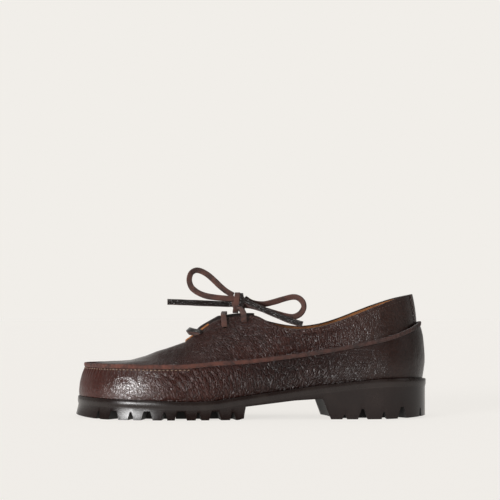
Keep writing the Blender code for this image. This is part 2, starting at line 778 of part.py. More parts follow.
def lace_bar(bar):
    """Bar from eyelet to eyelet, over both facings and the tongue."""
    eyelet = EYELETS[bar.eyelet]
    lift = QUARTER_STEP + GAP + THONG_THICK / 2
    path, widths, ups = [], [], []
    for way, lean in ((eyelet.way - 0.02, 0.0), (0.93, 0.35), (1.0, 0.7)):
        turn = topline_turn(eyelet.share + lean * bar.forward / LENGTH)
        path.append(offset(top_point, turn, way, lift + GAP))
        ups.append(outward(top_point, turn, way))
        step = 0.002
        widths.append(top_point(turn + step, way) - top_point(turn - step, way))
    share = eyelet.share + bar.forward / LENGTH
    crest = follow(CREST, "height", share) + bar.over + 2 * GAP + THONG_THICK / 2
    path[-1][2] += bar.over / 2
    centre = (topline_point(topline_turn(share)) + topline_point(1 - topline_turn(share))) / 2
    slope = follow(CREST, "height", share + 0.01) - follow(CREST, "height", share - 0.01)
    middle = np.array((centre[0], centre[1], crest))
    level = np.array((-0.02 * LENGTH, 0.0, slope))
    mirrored = np.array((1.0, -1.0, 1.0))
    shift = np.array((0.0, 2 * centre[1], 0.0))
    far_path = [p * mirrored + shift for p in reversed(path)]
    path = path + [middle] + far_path
    far_widths = [w * mirrored for w in reversed(widths)]
    far_ups = [u * mirrored for u in reversed(ups)]
    upright = np.array((0.0, 0.0, 1.0))
    return thong(bar.name, path, widths + [level] + far_widths, ups + [upright] + far_ups)


def smooth_route(points, step):
    """Evenly spaced points on a smooth curve through a route's own points."""
    route = [np.array(p) for p in points]
    route = [2 * route[0] - route[1]] + route + [2 * route[-1] - route[-2]]
    fine = []
    parts = 12
    for a, b, c, d in zip(route, route[1:], route[2:], route[3:]):
        for k in range(parts):
            t = k / parts
            fine.append(
                0.5 * (2 * b + (c - a) * t + (2 * a - 5 * b + 4 * c - d) * t**2
                       + (3 * b - a - 3 * c + d) * t**3)
            )
    fine.append(route[-2])
    lengths = np.cumsum([0.0] + [np.linalg.norm(q - p) for p, q in zip(fine, fine[1:])])
    count = max(2, round(lengths[-1] / step))
    wanted = np.linspace(0.0, lengths[-1], count + 1)
    fine = np.array(fine)
    return np.column_stack([np.interp(wanted, lengths, fine[:, k]) for k in range(3)])


def strand(name, points, step=STRAND_STEP):
    """Plain round tube along a smooth route."""
    route = smooth_route(points, step)
    curve = bpy.data.curves.new(name, "CURVE")
    curve.dimensions = "3D"
    curve.bevel_depth = THONG_ROUND / 2
    curve.bevel_resolution = 2
    curve.use_fill_caps = True
    spline = curve.splines.new("POLY")
    spline.points.add(len(route) - 1)
    for point, place in zip(spline.points, route):
        point.co = (*place, 1.0)
    made = bpy.data.objects.new(name, curve)
    bpy.context.scene.collection.objects.link(made)
    curve.materials.append(finish(name, (0.075, 0.030, 0.022), 0.5))
    return made


def leg_route(turn):
    """From a top eyelet up over the facing and into the knot's side."""
    eyelet = EYELETS[-1]
    side = side_of(turn)
    lift = QUARTER_STEP + 2 * GAP + THONG_ROUND / 2
    start = offset(top_point, turn, eyelet.way, lift)
    over = offset(top_point, turn, 1.0, lift + GAP)
    half = KNOT_SIZE[1] / 2
    reach = np.array(KNOT_PLACE)
    entry = reach + (0.0008, side * (half + 2 * GAP), -0.0040)
    before = entry + (0.0, side * 0.0025, 0.0)
    return [start, over, before, entry]


def knot():
    """Rounded block round the crossing strands."""
    mesh = bpy.data.meshes.new("lace_knot")
    body = bmesh.new()
    bmesh.ops.create_cube(body, size=1.0)
    for vertex in body.verts:
        for axis in range(3):
            vertex.co[axis] = vertex.co[axis] * KNOT_SIZE[axis] + KNOT_PLACE[axis]
    bevel = 0.3 * min(KNOT_SIZE)
    bmesh.ops.bevel(body, geom=body.edges[:], offset=bevel, segments=2, affect="EDGES", profile=0.5)
    body.to_mesh(mesh)
    body.free()
    made = bpy.data.objects.new("lace_knot", mesh)
    bpy.context.scene.collection.objects.link(made)
    made.data.materials.append(finish("lace_knot", (0.075, 0.030, 0.022), 0.5))
    return made


def clear_scene():
    for thing in list(bpy.data.objects):
        bpy.data.objects.remove(thing)


def build():
    clear_scene()
    outsole()
    insole()
    upper()
    tongue()
    for bar in BARS:
        lace_bar(bar)
    outer, inner = eyelet_turns(EYELETS[-1])
    strand("lace_leg_outer", leg_route(outer), STRAND_STEP / 3)
    strand("lace_leg_inner", leg_route(inner), STRAND_STEP / 3)
    knot()
    strand("lace_loop_toe", LOOP_TOE)
    strand("lace_loop_heel", LOOP_HEEL)
    strand("lace_end_toe", END_TOE)
    strand("lace_end_heel", END_HEEL)


build()
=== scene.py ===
# Looks of a camp moccasin for the left foot: grained leather, a raised seam, a lugged rubber sole
# and a leather thong tied in a bow.
# Metres, +Z up. The toe points along -X and the outer side of the foot is -Y.

import math
from collections import namedtuple

import bmesh
import bpy
import numpy as np
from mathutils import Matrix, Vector, noise


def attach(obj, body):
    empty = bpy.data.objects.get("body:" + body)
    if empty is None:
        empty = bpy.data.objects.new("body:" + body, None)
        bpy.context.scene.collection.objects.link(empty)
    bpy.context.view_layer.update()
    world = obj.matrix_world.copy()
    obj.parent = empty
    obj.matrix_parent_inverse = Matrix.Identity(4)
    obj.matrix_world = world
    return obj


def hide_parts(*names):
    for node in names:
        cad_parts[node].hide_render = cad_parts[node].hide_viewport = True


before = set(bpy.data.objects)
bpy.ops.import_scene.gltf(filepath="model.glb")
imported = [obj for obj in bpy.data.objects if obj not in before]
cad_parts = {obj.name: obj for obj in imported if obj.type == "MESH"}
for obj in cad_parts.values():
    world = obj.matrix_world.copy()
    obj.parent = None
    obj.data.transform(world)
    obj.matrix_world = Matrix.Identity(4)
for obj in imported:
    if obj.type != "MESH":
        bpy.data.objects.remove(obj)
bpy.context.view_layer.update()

# Camera: height and distance of the lens, and the width of the view at the middle of the shoe
CAMERA_DISTANCE = 1.4
CAMERA_HEIGHT = 0.086
CAMERA_SIDE = -0.00017
CAMERA_SHIFT = 0.1296     # how far the view is moved up, as a share of its width
VIEW_WIDTH = 0.4228
SENSOR = 36.0             # width of the camera's sensor, in its own millimetres

# Brightness of the room in front of the shoe and behind it
ROOM_FRONT, ROOM_BACK = 0.04, 0.45
PAPER_GLOW = 0.82         # light of the paper itself, which keeps the shadows on it pale
FLOOR_REACH = 30.0

# Soft lights: name, azimuth and elevation in degrees, spread in degrees and strength
LIGHTS = (
    ("left_light", -32, 6, 14, 2.4), ("far_left_light", -45, 6, 14, 1.3),
    ("right_light", 58, 28, 36, 0.26), ("top_light", -20, 72, 50, 0.7),
)

# Main sizes
LENGTH = 0.296            # outsole, heel to toe
BALL_WIDTH = 0.1040       # outsole across the ball
WAIST_WIDTH = 0.067       # outsole across the arch
HEEL_WIDTH = 0.074        # outsole across the heel
HEEL_HEIGHT = 0.0352      # floor to the upper's lower edge at the heel
BACK_HEIGHT = 0.1034      # floor to the topline at the back
COLLAR_WIDTH = 0.057      # opening for the foot, at its widest
THROAT_WIDTH = 0.019      # between the two facings

# Leather
WALL = 0.0018             # wall of the upper, lining and lower panel together
LINING = 0.0008           # lining alone
QUARTER_STEP = 0.0012     # quarter's leather lying on the wall
STRAP_STEP = 0.0009       # back strap lying on the quarters
STRAP_WIDTH = 0.028       # back strap, side to side
SEAM_HEIGHT = 0.0033      # raised seam, its outer face
SEAM_PROUD = 0.0008       # raised seam, out from the lower panel
SEAM_THICK = 0.0022       # raised seam, across its top
SEAM_RISE = 0.0012        # raised seam, up from what it encloses
SEAM_ROUND = 0.0004       # raised seam, rounding of its edges
CUT_ROUND = 0.0003        # how much the cut edges of quarters and strap are rounded
LINING_SHOWS = 0.0009     # how far the lining stands out of the facings near the throat
COLLAR_FOLD = 0.0009      # how far the quarter's leather folds over the topline, inside
TONGUE_THICK = 0.0020
TONGUE_TUCK = 0.0055      # how far the tongue's root reaches under the apron
TONGUE_SWELL = 0.0016     # how far the tongue swells up between the two front pairs of eyelets
TONGUE_FULL = (0.578, 0.600, 0.648, 0.672)    # shares where that starts, is full, and ends
TONGUE_FIRST, TONGUE_LAST = 0.490, 0.663
INSOLE_THICK = 0.0035
EYELET_RADIUS = 0.0022
FIT = 0.0001              # between layers that are sewn together

# Gathers round the toe: folds once round the shoe, their depth, and shares where they set in
GATHERS, SEAM_GATHERS = 130, 118
PANEL_GATHER, APRON_GATHER, SEAM_GATHER = 0.00026, 0.00014, 0.00030
GATHERS_START = (0.66, 0.80)

# Unevenness of the leather: depth, size of its hills, and where its noise starts
PANEL_WAVES = ((0.00035, 0.016, 3.1), (0.00012, 0.005, 8.4))
TOP_WAVES = ((0.00040, 0.018, 5.7), (0.00012, 0.006, 1.9))
TONGUE_WAVES = ((0.00015, 0.008, 4.4),)
SEAM_SWAY = ((0.00016, 0.011, 2.2),)
SEAM_LIFT = ((0.00024, 0.013, 6.1),)

# Rubber
TOE_SPRING = 0.0023       # lift of the sole's tip
HEEL_LIFT = 0.0020        # lift of the heel's back edge
SPRING_PART, LIFT_PART = 0.112, 0.19      # shares of the length that these two take
TOE_FLARE = 0.0018        # how far the sole's wall leans out at the toe
BAND_HEIGHT = 0.0048      # band along the sole's upper edge
BAND_PROUD = 0.0006       # how far it stands out
BAND_ROUND = 0.0007       # rounding of the band's edges
BAND_FADE = 0.0022        # how far below the band its step runs out
LUG_DEPTH = 0.0071
LUG_PITCH = 0.0280
LUG_REACH = 0.0170        # length of the side lugs, inward
LUG_ROUND = 0.00045       # rounding of the lugs' edges
CHANNEL_WIDTH = 0.0040    # groove behind the side lugs
CHANNEL_DEPTH = 0.0050
CHANNEL_ENDS = (0.565, 0.225)     # shares where it ends, in the forefoot and in the heel
WALL_BAND = 0.0030        # side wall: how near it keeps to the outline seen from above
BREAST_HOLLOW = 0.0050    # how far the heel's front face is hollowed
BREAST_SKEW = 0.0080      # how much further forward it starts on the inner side
BREAST_FOOT = 0.276       # share of the length where the heel's front face meets the floor

# Thong
THONG_WIDTH = 0.0048
THONG_THICK = 0.0021
THONG_ROUND = 0.0005      # rounding of its edges
KNOT_SIZE = (0.0074, 0.0100, 0.0176)
KNOT_PLACE = (-0.0096, 0.0, 0.0962)
KNOT_CORE = (0.0062, 0.0038, 0.0070)      # half sizes of the strands inside the knot's turns
EYELET_DIVE = 0.0022      # how far the thong runs into an eyelet

GAP = 0.0003              # between pieces that touch on the real shoe
TONGUE_GAP = 0.0011       # between the facings and the tongue
CUT = 0.0040              # how far a cutter passes beyond what it cuts

# Stitches: pitch, length and thickness
SEAM_STITCH = (0.0034, 0.0022, 0.0008)
FINE_STITCH = (0.0028, 0.0019, 0.0005)

# Round ends of the outlines, as shares of the length
HEEL_ROUND = 0.125
TOE_ROUND = 0.175
COLLAR_ROUND = 0.110


def table(columns, rows, **units):
    """Rows with named columns. A column with a unit holds multiples of that size."""
    row_type = namedtuple("Row", columns)
    return [row_type(*(value * units[name] if name in units else value
                       for name, value in zip(row_type._fields, row))) for row in rows]


# Outsole seen from above: share of the length from the heel, centre line and width
OUTLINE = table("share centre width", (
    (0.00, 0.000, 0.98 * HEEL_WIDTH), (0.12, 0.000, 1.00 * HEEL_WIDTH),
    (0.25, -0.007, 0.96 * HEEL_WIDTH), (0.38, -0.038, 1.00 * WAIST_WIDTH),
    (0.50, -0.056, 1.14 * WAIST_WIDTH), (0.62, -0.042, 0.875 * BALL_WIDTH),
    (0.70, -0.016, 0.965 * BALL_WIDTH), (0.77, 0.014, 1.00 * BALL_WIDTH),
    (0.88, 0.064, 0.98 * BALL_WIDTH), (1.00, 0.122, 0.92 * BALL_WIDTH),
), centre=BALL_WIDTH)

# Height of the outsole's upper edge
SOLE_TOP = table("share height", (
    (0.00, 0.925), (0.05, 0.955), (0.15, 0.932), (0.33, 0.765), (0.43, 0.650), (0.53, 0.533),
    (0.59, 0.456), (0.65, 0.425), (0.79, 0.455), (1.00, 0.506),
), height=HEEL_HEIGHT)

# Underside of the waist, from the last lug of the forefoot to the heel's front face
WAIST_PROFILE = table("share height", (
    (0.533, 0.000), (0.517, 0.035), (0.516, 0.118), (0.512, 0.304), (0.430, 0.384),
    (0.378, 0.436), (0.299, 0.480),
), height=HEEL_HEIGHT)

# Upper seen from above, inward from the outsole's outline: lower edge, raised seam, ledge behind
# the seam, and how far lower panel and quarter swell between their edges
UPPER = table("share edge seam ledge swell quarter", (
    (0.00, 0.0028, 0.0040, 0.0058, 0.0028, 0.0004),
    (0.06, 0.0028, 0.0039, 0.0052, 0.0024, 0.0006),
    (0.25, 0.0030, 0.0045, 0.0046, 0.0030, 0.0016),
    (0.45, 0.0031, 0.0056, 0.0044, 0.0030, 0.0034),
    (0.60, 0.0032, 0.0064, 0.0044, 0.0030, 0.0042),
    (0.75, 0.0034, 0.0070, 0.0046, 0.0028, 0.0030),
    (1.00, 0.0026, 0.0070, 0.0048, 0.0017, 0.0000),
))

# Height of the raised seam's top
SEAM_TOP = table("share height", (
    (0.00, 0.780), (0.03, 0.735), (0.09, 0.676), (0.17, 0.622), (0.28, 0.562), (0.36, 0.525),
    (0.50, 0.477), (0.59, 0.462), (0.68, 0.438), (0.86, 0.439), (1.00, 0.442),
), height=BACK_HEIGHT)

# Topline: collar from the back to the front of the opening, then the facings down to the throat.
# The last column says where the inner side is raised.
TOPLINE = table("share width height raised", (
    (0.045, 1.00 * COLLAR_WIDTH, 0.998, 0.0), (0.091, 0.98 * COLLAR_WIDTH, 0.962, 0.3),
    (0.145, 0.97 * COLLAR_WIDTH, 0.903, 0.8), (0.198, 0.98 * COLLAR_WIDTH, 0.842, 1.0),
    (0.254, 1.00 * COLLAR_WIDTH, 0.779, 1.0), (0.304, 0.99 * COLLAR_WIDTH, 0.736, 1.0),
    (0.358, 0.95 * COLLAR_WIDTH, 0.714, 1.0), (0.402, 0.87 * COLLAR_WIDTH, 0.727, 0.8),
    (0.441, 0.73 * COLLAR_WIDTH, 0.762, 0.4), (0.488, 0.44 * COLLAR_WIDTH, 0.822, 0.0),
    (0.550, 1.12 * THROAT_WIDTH, 0.809, 0.0), (0.595, 1.06 * THROAT_WIDTH, 0.780, 0.0),
    (0.645, 1.00 * THROAT_WIDTH, 0.684, 0.0), (0.680, 0.96 * THROAT_WIDTH, 0.614, 0.0),
), height=BACK_HEIGHT)
BACK = TOPLINE[0].share
THROAT = TOPLINE[-1].share
INNER_RISE = 0.0018       # how much higher the collar is on the inner side
TOPLINE_SHIFT = 0.35      # how much of the outline's sideways curve the topline follows

# Apron's lift off the straight line from seam to throat, down the middle of the toe
APRON = table("share lift", (
    (0.00, 0.0000), (0.10, -0.0004), (0.28, -0.0046), (0.47, -0.0043), (0.63, -0.0030),
    (0.80, -0.0016), (1.00, 0.0000),
))

# Tongue: crest height, from the collar's front down to the throat
CREST = table("share height", (
    (0.480, 0.838), (0.495, 0.847), (0.540, 0.844), (0.574, 0.830), (0.598, 0.806),
    (0.655, 0.710), (0.672, 0.645),
), height=BACK_HEIGHT)

# Eyelets of each side, from the front: share of the length, and of the way from seam to facing
EYELETS = table("share way", ((0.637, 0.82), (0.572, 0.74), (0.518, 0.84)))

# Lace crossings over the tongue: eyelet, how far the middle runs forward, height over the tongue,
# where the face looks there, how much fuller it is, and whether its flesh side is out
BARS = table("name node eyelet forward over crest_up swell flesh_out", (
    ("front_crossing", "lace_bar_front", 0, 0.0105, 0.0040, (-0.8, 0.0, 0.8), 2.3, False),
    ("middle_crossing", "lace_bar_middle", 1, 0.0005, 0.0003, (0.0, 0.0, 1.0), 1.2, True),
))

# Gaps between the lugs: share of the length, width at the floor, width at the top, depth.
# First those of the heel, then the wide and the narrow ones of the forefoot.
WIDE_SHARES = [0.596 + k * LUG_PITCH / LENGTH for k in range(4)]
NARROW_SHARES = [0.547 + k * LUG_PITCH / LENGTH for k in range(5)]
GAPS = table("share foot top depth", (
    (0.020, 0.0040, 0.0012, 1.00), (0.075, 0.0090, 0.0030, 1.30), (0.128, 0.0040, 0.0012, 0.80),
    (0.187, 0.0080, 0.0020, 1.20), (0.237, 0.0040, 0.0012, 0.50),
    *((share, 0.0100, 0.0055, 1.00) for share in WIDE_SHARES),
    *((share, 0.0050, 0.0016, 0.88) for share in NARROW_SHARES),
), depth=LUG_DEPTH)
GROOVES = [share + 0.25 * LUG_PITCH / LENGTH for share in WIDE_SHARES] + [0.150]

# Creases of the leather: ends as distance from the middle of the shoe and height over the floor,
# bend of the line, width and depth, and the side of the foot (-1 outer, 1 inner, 0 both)
CREASE = "x0 z0 x1 z1 bend wide deep side"
PANEL_CREASES = table(CREASE, (
    (-0.084, 0.036, -0.062, 0.020, 0.004, 0.0015, 0.00048, 0),
    (-0.076, 0.038, -0.054, 0.020, 0.004, 0.0015, 0.00061, -1),
    (-0.068, 0.039, -0.047, 0.022, 0.003, 0.0013, 0.00055, 0),
    (-0.060, 0.040, -0.042, 0.022, 0.003, 0.0014, 0.00061, -1),
    (-0.050, 0.041, -0.036, 0.022, 0.002, 0.0013, 0.00061, 0),
    (-0.041, 0.041, -0.031, 0.023, 0.002, 0.0013, 0.00068, -1),
    (-0.034, 0.042, -0.026, 0.025, 0.001, 0.0012, 0.00061, 0),
    (-0.028, 0.042, -0.021, 0.026, 0.001, 0.0012, 0.00061, -1),
    (-0.021, 0.043, -0.015, 0.028, 0.001, 0.0012, 0.00055, 0),
    (-0.014, 0.043, -0.010, 0.030, 0.000, 0.0012, 0.00048, -1),
    (-0.005, 0.044, -0.003, 0.030, 0.000, 0.0013, 0.00041, 0),
    (0.006, 0.044, 0.006, 0.030, 0.000, 0.0013, 0.00034, -1),
    (0.020, 0.046, 0.015, 0.032, -0.001, 0.0014, 0.00041, 0),
    (0.036, 0.048, 0.028, 0.034, -0.001, 0.0015, 0.00041, -1),
    (0.055, 0.051, 0.044, 0.036, -0.002, 0.0015, 0.00048, 0),
    (0.068, 0.054, 0.056, 0.038, -0.002, 0.0016, 0.00048, -1),
    (0.082, 0.058, 0.070, 0.040, -0.002, 0.0017, 0.00041, 0),
    (-0.105, 0.034, -0.094, 0.022, 0.003, 0.0021, 0.00034, -1),
    (-0.095, 0.036, -0.080, 0.021, 0.004, 0.0019, 0.00041, 1),
))
QUARTER_CREASES = table(CREASE, (
    (-0.028, 0.074, 0.002, 0.050, 0.003, 0.0021, 0.00042, -1),
    (-0.038, 0.070, -0.010, 0.049, 0.003, 0.0021, 0.00038, 0),
    (-0.018, 0.076, 0.012, 0.054, 0.003, 0.0019, 0.00038, 0),
    (-0.008, 0.074, 0.022, 0.058, 0.002, 0.0019, 0.00034, -1),
    (0.002, 0.058, 0.046, 0.066, -0.003, 0.0029, 0.00055, -1),
    (0.012, 0.053, 0.060, 0.060, -0.003, 0.0029, 0.00055, -1),
    (0.008, 0.054, 0.052, 0.062, -0.003, 0.0030, 0.00055, 1),
    (0.040, 0.066, 0.078, 0.070, 0.002, 0.0025, 0.00057, -1),
    (0.052, 0.072, 0.062, 0.058, 0.001, 0.0017, 0.00028, 0),
    (0.062, 0.076, 0.072, 0.062, 0.001, 0.0017, 0.00028, -1),
    (0.074, 0.080, 0.084, 0.066, 0.001, 0.0017, 0.00028, 0),
    (0.086, 0.084, 0.096, 0.070, 0.001, 0.0017, 0.00023, -1),
    (-0.048, 0.060, -0.030, 0.048, 0.002, 0.0017, 0.00028, -1),
    (0.022, 0.070, 0.050, 0.068, 0.002, 0.0019, 0.00038, 0),
))
APRON_CREASES = table(CREASE, (
    (-0.064, 0.058, -0.076, 0.047, 0.002, 0.0023, 0.00067, 0),
    (-0.078, 0.053, -0.088, 0.046, 0.002, 0.0023, 0.00057, -1),
    (-0.090, 0.050, -0.070, 0.050, 0.001, 0.0025, 0.00057, 0),
))

# Bow: points of each strand, from the knot outward
LOOP_TOE = (
    (-0.0144, 0.0026, 0.1026), (-0.0205, 0.0040, 0.1062), (-0.0256, 0.0050, 0.1104),
    (-0.0306, 0.0060, 0.1152), (-0.0357, 0.0066, 0.1197), (-0.0412, 0.0068, 0.1229),
    (-0.0462, 0.0062, 0.1238), (-0.0502, 0.0044, 0.1212), (-0.0516, 0.0016, 0.1155),
    (-0.0498, -0.0010, 0.1096), (-0.0458, -0.0026, 0.1058), (-0.0408, -0.0036, 0.1032),
    (-0.0357, -0.0040, 0.1016), (-0.0289, -0.0038, 0.1006), (-0.0205, -0.0030, 0.0998),
    (-0.0137, -0.0022, 0.0998),
)
LOOP_HEEL = (
    (-0.0048, 0.0028, 0.1000), (0.0015, 0.0040, 0.0963), (0.0108, 0.0042, 0.0950),
    (0.0201, 0.0028, 0.0969), (0.0277, -0.0004, 0.0992), (0.0354, -0.0052, 0.1010),
    (0.0404, -0.0092, 0.1002), (0.0441, -0.0132, 0.0966), (0.0448, -0.0170, 0.0922),
    (0.0425, -0.0196, 0.0877), (0.0386, -0.0204, 0.0850), (0.0335, -0.0192, 0.0842),
    (0.0250, -0.0140, 0.0862), (0.0150, -0.0080, 0.0892), (0.0049, -0.0026, 0.0925),
    (-0.0012, 0.0004, 0.0938), (-0.0050, 0.0012, 0.0942),
)
END_TOE = (
    (-0.0137, 0.0016, 0.0949), (-0.0200, 0.0012, 0.0950), (-0.0300, -0.0004, 0.0954),
    (-0.0400, -0.0024, 0.0958), (-0.0500, -0.0046, 0.0962), (-0.0600, -0.0068, 0.0966),
    (-0.0695, -0.0086, 0.0969),
)
END_HEEL = (
    (-0.0050, -0.0036, 0.0976), (0.0000, -0.0066, 0.0955), (0.0049, -0.0098, 0.0934),
    (0.0134, -0.0156, 0.0895), (0.0218, -0.0216, 0.0857), (0.0303, -0.0272, 0.0822),
    (0.0387, -0.0314, 0.0794), (0.0430, -0.0328, 0.0782),
)

# Leather's tones from toe to heel: where the change to it starts and ends, and the tone
PANEL_TONES = (
    (0.0, 0.0, "#3a150e"), (-0.110, -0.080, "#38160e"), (-0.060, -0.010, "#30140e"),
    (-0.010, 0.050, "#1f0c08"), (0.085, 0.145, "#22130f"),
)
QUARTER_TONES = ((0.0, 0.0, "#2c130e"), (-0.060, 0.030, "#30150f"), (0.085, 0.145, "#2b1a15"))
# The tongue's tones are darker as painted shade, for the shadow of the knot and bow over it
TONGUE_SHADED_TONES = ((0.0, 0.0, "#1c0f0b"), (-0.060, 0.020, "#180c09"))
THONG_TONES = ((0.0, 0.0, "#1c0f0c"), (-0.040, 0.040, "#180d0a"))
GRAIN_BEND = 0.0026       # how far the grain wanders off its even pattern
VALLEY = 0.17             # half the width of the grain's valleys, as a share of a pebble
FOLDS_START = (-0.098, -0.062)    # where the grain changes to tall folds behind the toe
FOLDS_END = (0.104, 0.050)        # and where it stops doing so before the heel
SMOOTH_TOE, SMOOTH_HEEL = 0.20, 0.16
LEAN_PLACES = (-0.060, 0.085)     # between these the folds turn from one lean to the other
WAX_START, WAX_END = (-0.130, -0.112), (-0.062, -0.092)     # where the coat of wax lies
WAX_TOE, WAX_ELSEWHERE = 0.90, 0.05

# Where the grain side of each strand faces: part of the way along it, then the direction
FACING_LOOP_TOE = (
    (0.00, 0.1, 1.0, 0.5), (0.20, -0.2, 1.0, 0.6), (0.45, -0.5, 0.9, 0.1), (0.60, 0.0, 1.0, -0.3),
    (1.00, 0.0, 1.0, -0.4),
)
FACING_LOOP_HEEL = (
    (0.00, 0.0, 1.0, 0.4), (0.30, 0.1, 1.0, 0.6), (0.50, 0.5, 0.8, 0.1), (0.70, 0.1, 1.0, -0.5),
    (1.00, 0.0, 1.0, -0.4),
)
FACING_END_TOE = (
    (0.00, 0.0, 1.0, 0.3), (0.15, 0.0, 0.6, 0.8), (0.22, 0.0, -0.6, 0.8), (0.30, -0.1, -1.0, 0.2),
    (1.00, -0.2, -1.0, 0.15),
)
FACING_END_HEEL = (
    (0.00, 0.0, 1.0, 0.3), (0.19, 0.0, 1.0, 0.4), (0.23, 0.0, 0.2, 1.0), (0.28, -0.3, -1.0, 0.5),
    (0.60, -0.4, -1.0, 0.4), (1.00, -0.4, -1.0, 0.3),
)
STRAND_STEP = 0.0012      # between the cross-sections of a strand

# Fineness of the meshes
ROUND_TURNS = 640         # meridians of a piece that goes once round the shoe
PANEL_ROWS = 44
QUARTER_TURNS = 300
QUARTER_ROWS = 60
APRON_TURNS = 220
APRON_ROWS = 70
STRAP_TURNS, STRAP_ROWS = 80, 60
LINING_ROWS = 14
SOLE_TURNS = 300
TONGUE_ROWS = 44


# Curves through tables, for whole arrays of shares

def follow(rows, column, share):
    """Values of a column at shares, on a smooth curve through the table's rows."""
    places = np.array([row.share for row in rows])
    values = np.array([getattr(row, column) for row in rows])
    last = len(rows) - 1
    low = np.maximum(np.arange(last + 1) - 1, 0)
    high = np.minimum(np.arange(last + 1) + 1, last)
    slopes = (values[high] - values[low]) / (places[high] - places[low])
    share = np.clip(share, places[0], places[-1])
    i = np.clip(np.searchsorted(places, share, side="right") - 1, 0, last - 1)
    span = places[i + 1] - places[i]
    t = (share - places[i]) / span
    return (
        (2 * t**3 - 3 * t**2 + 1) * values[i]
        + (t**3 - 2 * t**2 + t) * span * slopes[i]
        + (3 * t**2 - 2 * t**3) * values[i + 1]
        + (t**3 - t**2) * span * slopes[i + 1]
    )


def round_end(way, reach):
    """Share of the full width at a distance from a round end."""
    return np.sqrt(np.maximum(0.0, 1 - (1 - np.minimum(way / reach, 1.0)) ** 2))


def unit(vectors):
    return vectors / np.linalg.norm(vectors, axis=-1, keepdims=True)


def place(x, y, z):
    return np.stack(np.broadcast_arrays(x, y, z), axis=-1).astype(float)


def ease(value, start, end):
    """0 before start and 1 after end, with a soft step between."""
    t = np.clip((value - start) / (end - start), 0.0, 1.0)
    return t * t * (3 - 2 * t)


# Outline. A turn goes once round the shoe: 0 at the heel, outer side, 0.5 at the toe, inner side.

def share_of(turn):
    return (1 - np.cos(2 * math.pi * np.asarray(turn))) / 2


def turn_of(share):
    return np.arccos(1 - 2 * np.asarray(share)) / (2 * math.pi)


def side_of(turn):
    return np.where(np.asarray(turn) % 1 < 0.5, -1.0, 1.0)


def half_turn_of(turn):
    return np.minimum(np.asarray(turn) % 1, 1 - np.asarray(turn) % 1)


def both_sides(share):
    """Turns of the outer and the inner side at a share of the length."""
    return float(turn_of(share)), 1 - float(turn_of(share))


def all_round(count):
    return np.arange(count) / count


def grid(first, last, columns, rows):
    """Turns of a piece's columns and the ways of its rows, to be combined."""
    return np.linspace(first, last, columns)[None, :], np.linspace(0.0, 1.0, rows)[:, None]


def as_arrays(turn, way):
    return np.broadcast_arrays(np.asarray(turn, float), np.asarray(way, float))


def x_at(share):
    return LENGTH * (0.5 - share)


def raw_outline(turn):
    share = share_of(turn)
    half = follow(OUTLINE, "width", share) / 2
    half = half * round_end(share, HEEL_ROUND) * round_end(1 - share, TOE_ROUND)
    y = follow(OUTLINE, "centre", share) + side_of(turn) * half
    return np.stack((x_at(share), y), axis=-1)


TRIAL = raw_outline(all_round(400))
MIDDLE = np.array((0.0, (TRIAL[:, 1].min() + TRIAL[:, 1].max()) / 2))


def inward(turn):
    """Direction square to the outline, into the shoe."""
    step = 0.0005
    along = raw_outline(turn + step) - raw_outline(turn - step)
    return unit(np.stack((along[..., 1], -along[..., 0]), axis=-1))


def outline(turn, inset):
    return raw_outline(turn) - MIDDLE + np.asarray(inset)[..., None] * inward(turn)


def at_height(flat, height):
    return place(flat[..., 0], flat[..., 1], height)


def on_sole(flat, above):
    """A place seen from above, at a height over the sole's upper face."""
    return at_height(flat, follow(SOLE_TOP, "height", 0.5 - flat[..., 0] / LENGTH) + above)


def sole_floor(share):
    """Height of the tread: flat but for the toe spring and the heel's rounded back edge."""
    toe = np.maximum(0.0, (share - 1 + SPRING_PART) / SPRING_PART)
    heel = np.maximum(0.0, (LIFT_PART - share) / LIFT_PART)
    return TOE_SPRING * toe**2 + HEEL_LIFT * heel**2


# Surfaces of the upper

def seam_top(share):
    return follow(SEAM_TOP, "height", share)


def panel_point(turn, way):
    """Lower panel, from its lower edge (way 0) to the raised seam (way 1)."""
    share = share_of(turn)
    edge, seam, swell = (follow(UPPER, name, share) for name in ("edge", "seam", "swell"))
    inset = edge + (seam + SEAM_PROUD - edge) * way - swell * 4 * way * (1 - way)
    point = on_sole(outline(turn, inset), GAP)
    point[..., 2] += (seam_top(share) - SEAM_HEIGHT - point[..., 2]) * way
    return point


def seam_point(turn, inset, drop):
    share = share_of(turn)
    return at_height(outline(turn, follow(UPPER, "seam", share) + inset), seam_top(share) - drop)


def topline_point(turn):
    """Topline for each turn. Those round the toe all end on the throat's short front edge."""
    side = side_of(turn)
    half_turn = half_turn_of(turn)
    last = turn_of(THROAT)
    share = np.minimum(share_of(turn), THROAT)
    share = share + BACK * (1 - share / THROAT)
    half = follow(TOPLINE, "width", share) / 2 * round_end(share - BACK, COLLAR_ROUND)
    half = half * np.where(half_turn > last, (0.5 - half_turn) / (0.5 - last), 1.0)
    centre = TOPLINE_SHIFT * follow(OUTLINE, "centre", share) - MIDDLE[1]
    height = follow(TOPLINE, "height", share)
    height = height + np.where(side > 0, INNER_RISE * follow(TOPLINE, "raised", share), 0.0)
    return place(x_at(share), centre + side * half, height)


def toe_part(turn):
    """0 along the quarters, rising to 1 at the tip of the toe."""
    return ease(half_turn_of(turn), turn_of(THROAT), 0.5)


def top_point(turn, way):
    """Apron and quarters, from behind the raised seam (way 0) to the topline (way 1)."""
    turn, way = as_arrays(turn, way)
    share = share_of(turn)
    low = seam_point(turn, follow(UPPER, "ledge", share), SEAM_RISE)
    chord = topline_point(turn) - low
    across = np.hypot(chord[..., 0], chord[..., 1])
    out = place(-chord[..., 0] * chord[..., 2] / across, -chord[..., 1] * chord[..., 2] / across,
                across)
    toe = toe_part(turn)
    swell = follow(UPPER, "quarter", share) * 4 * way * (1 - way) * (1 - toe)
    swell = swell + toe * follow(APRON, "lift", way)
    return low + chord * way[..., None] + unit(out) * swell[..., None]


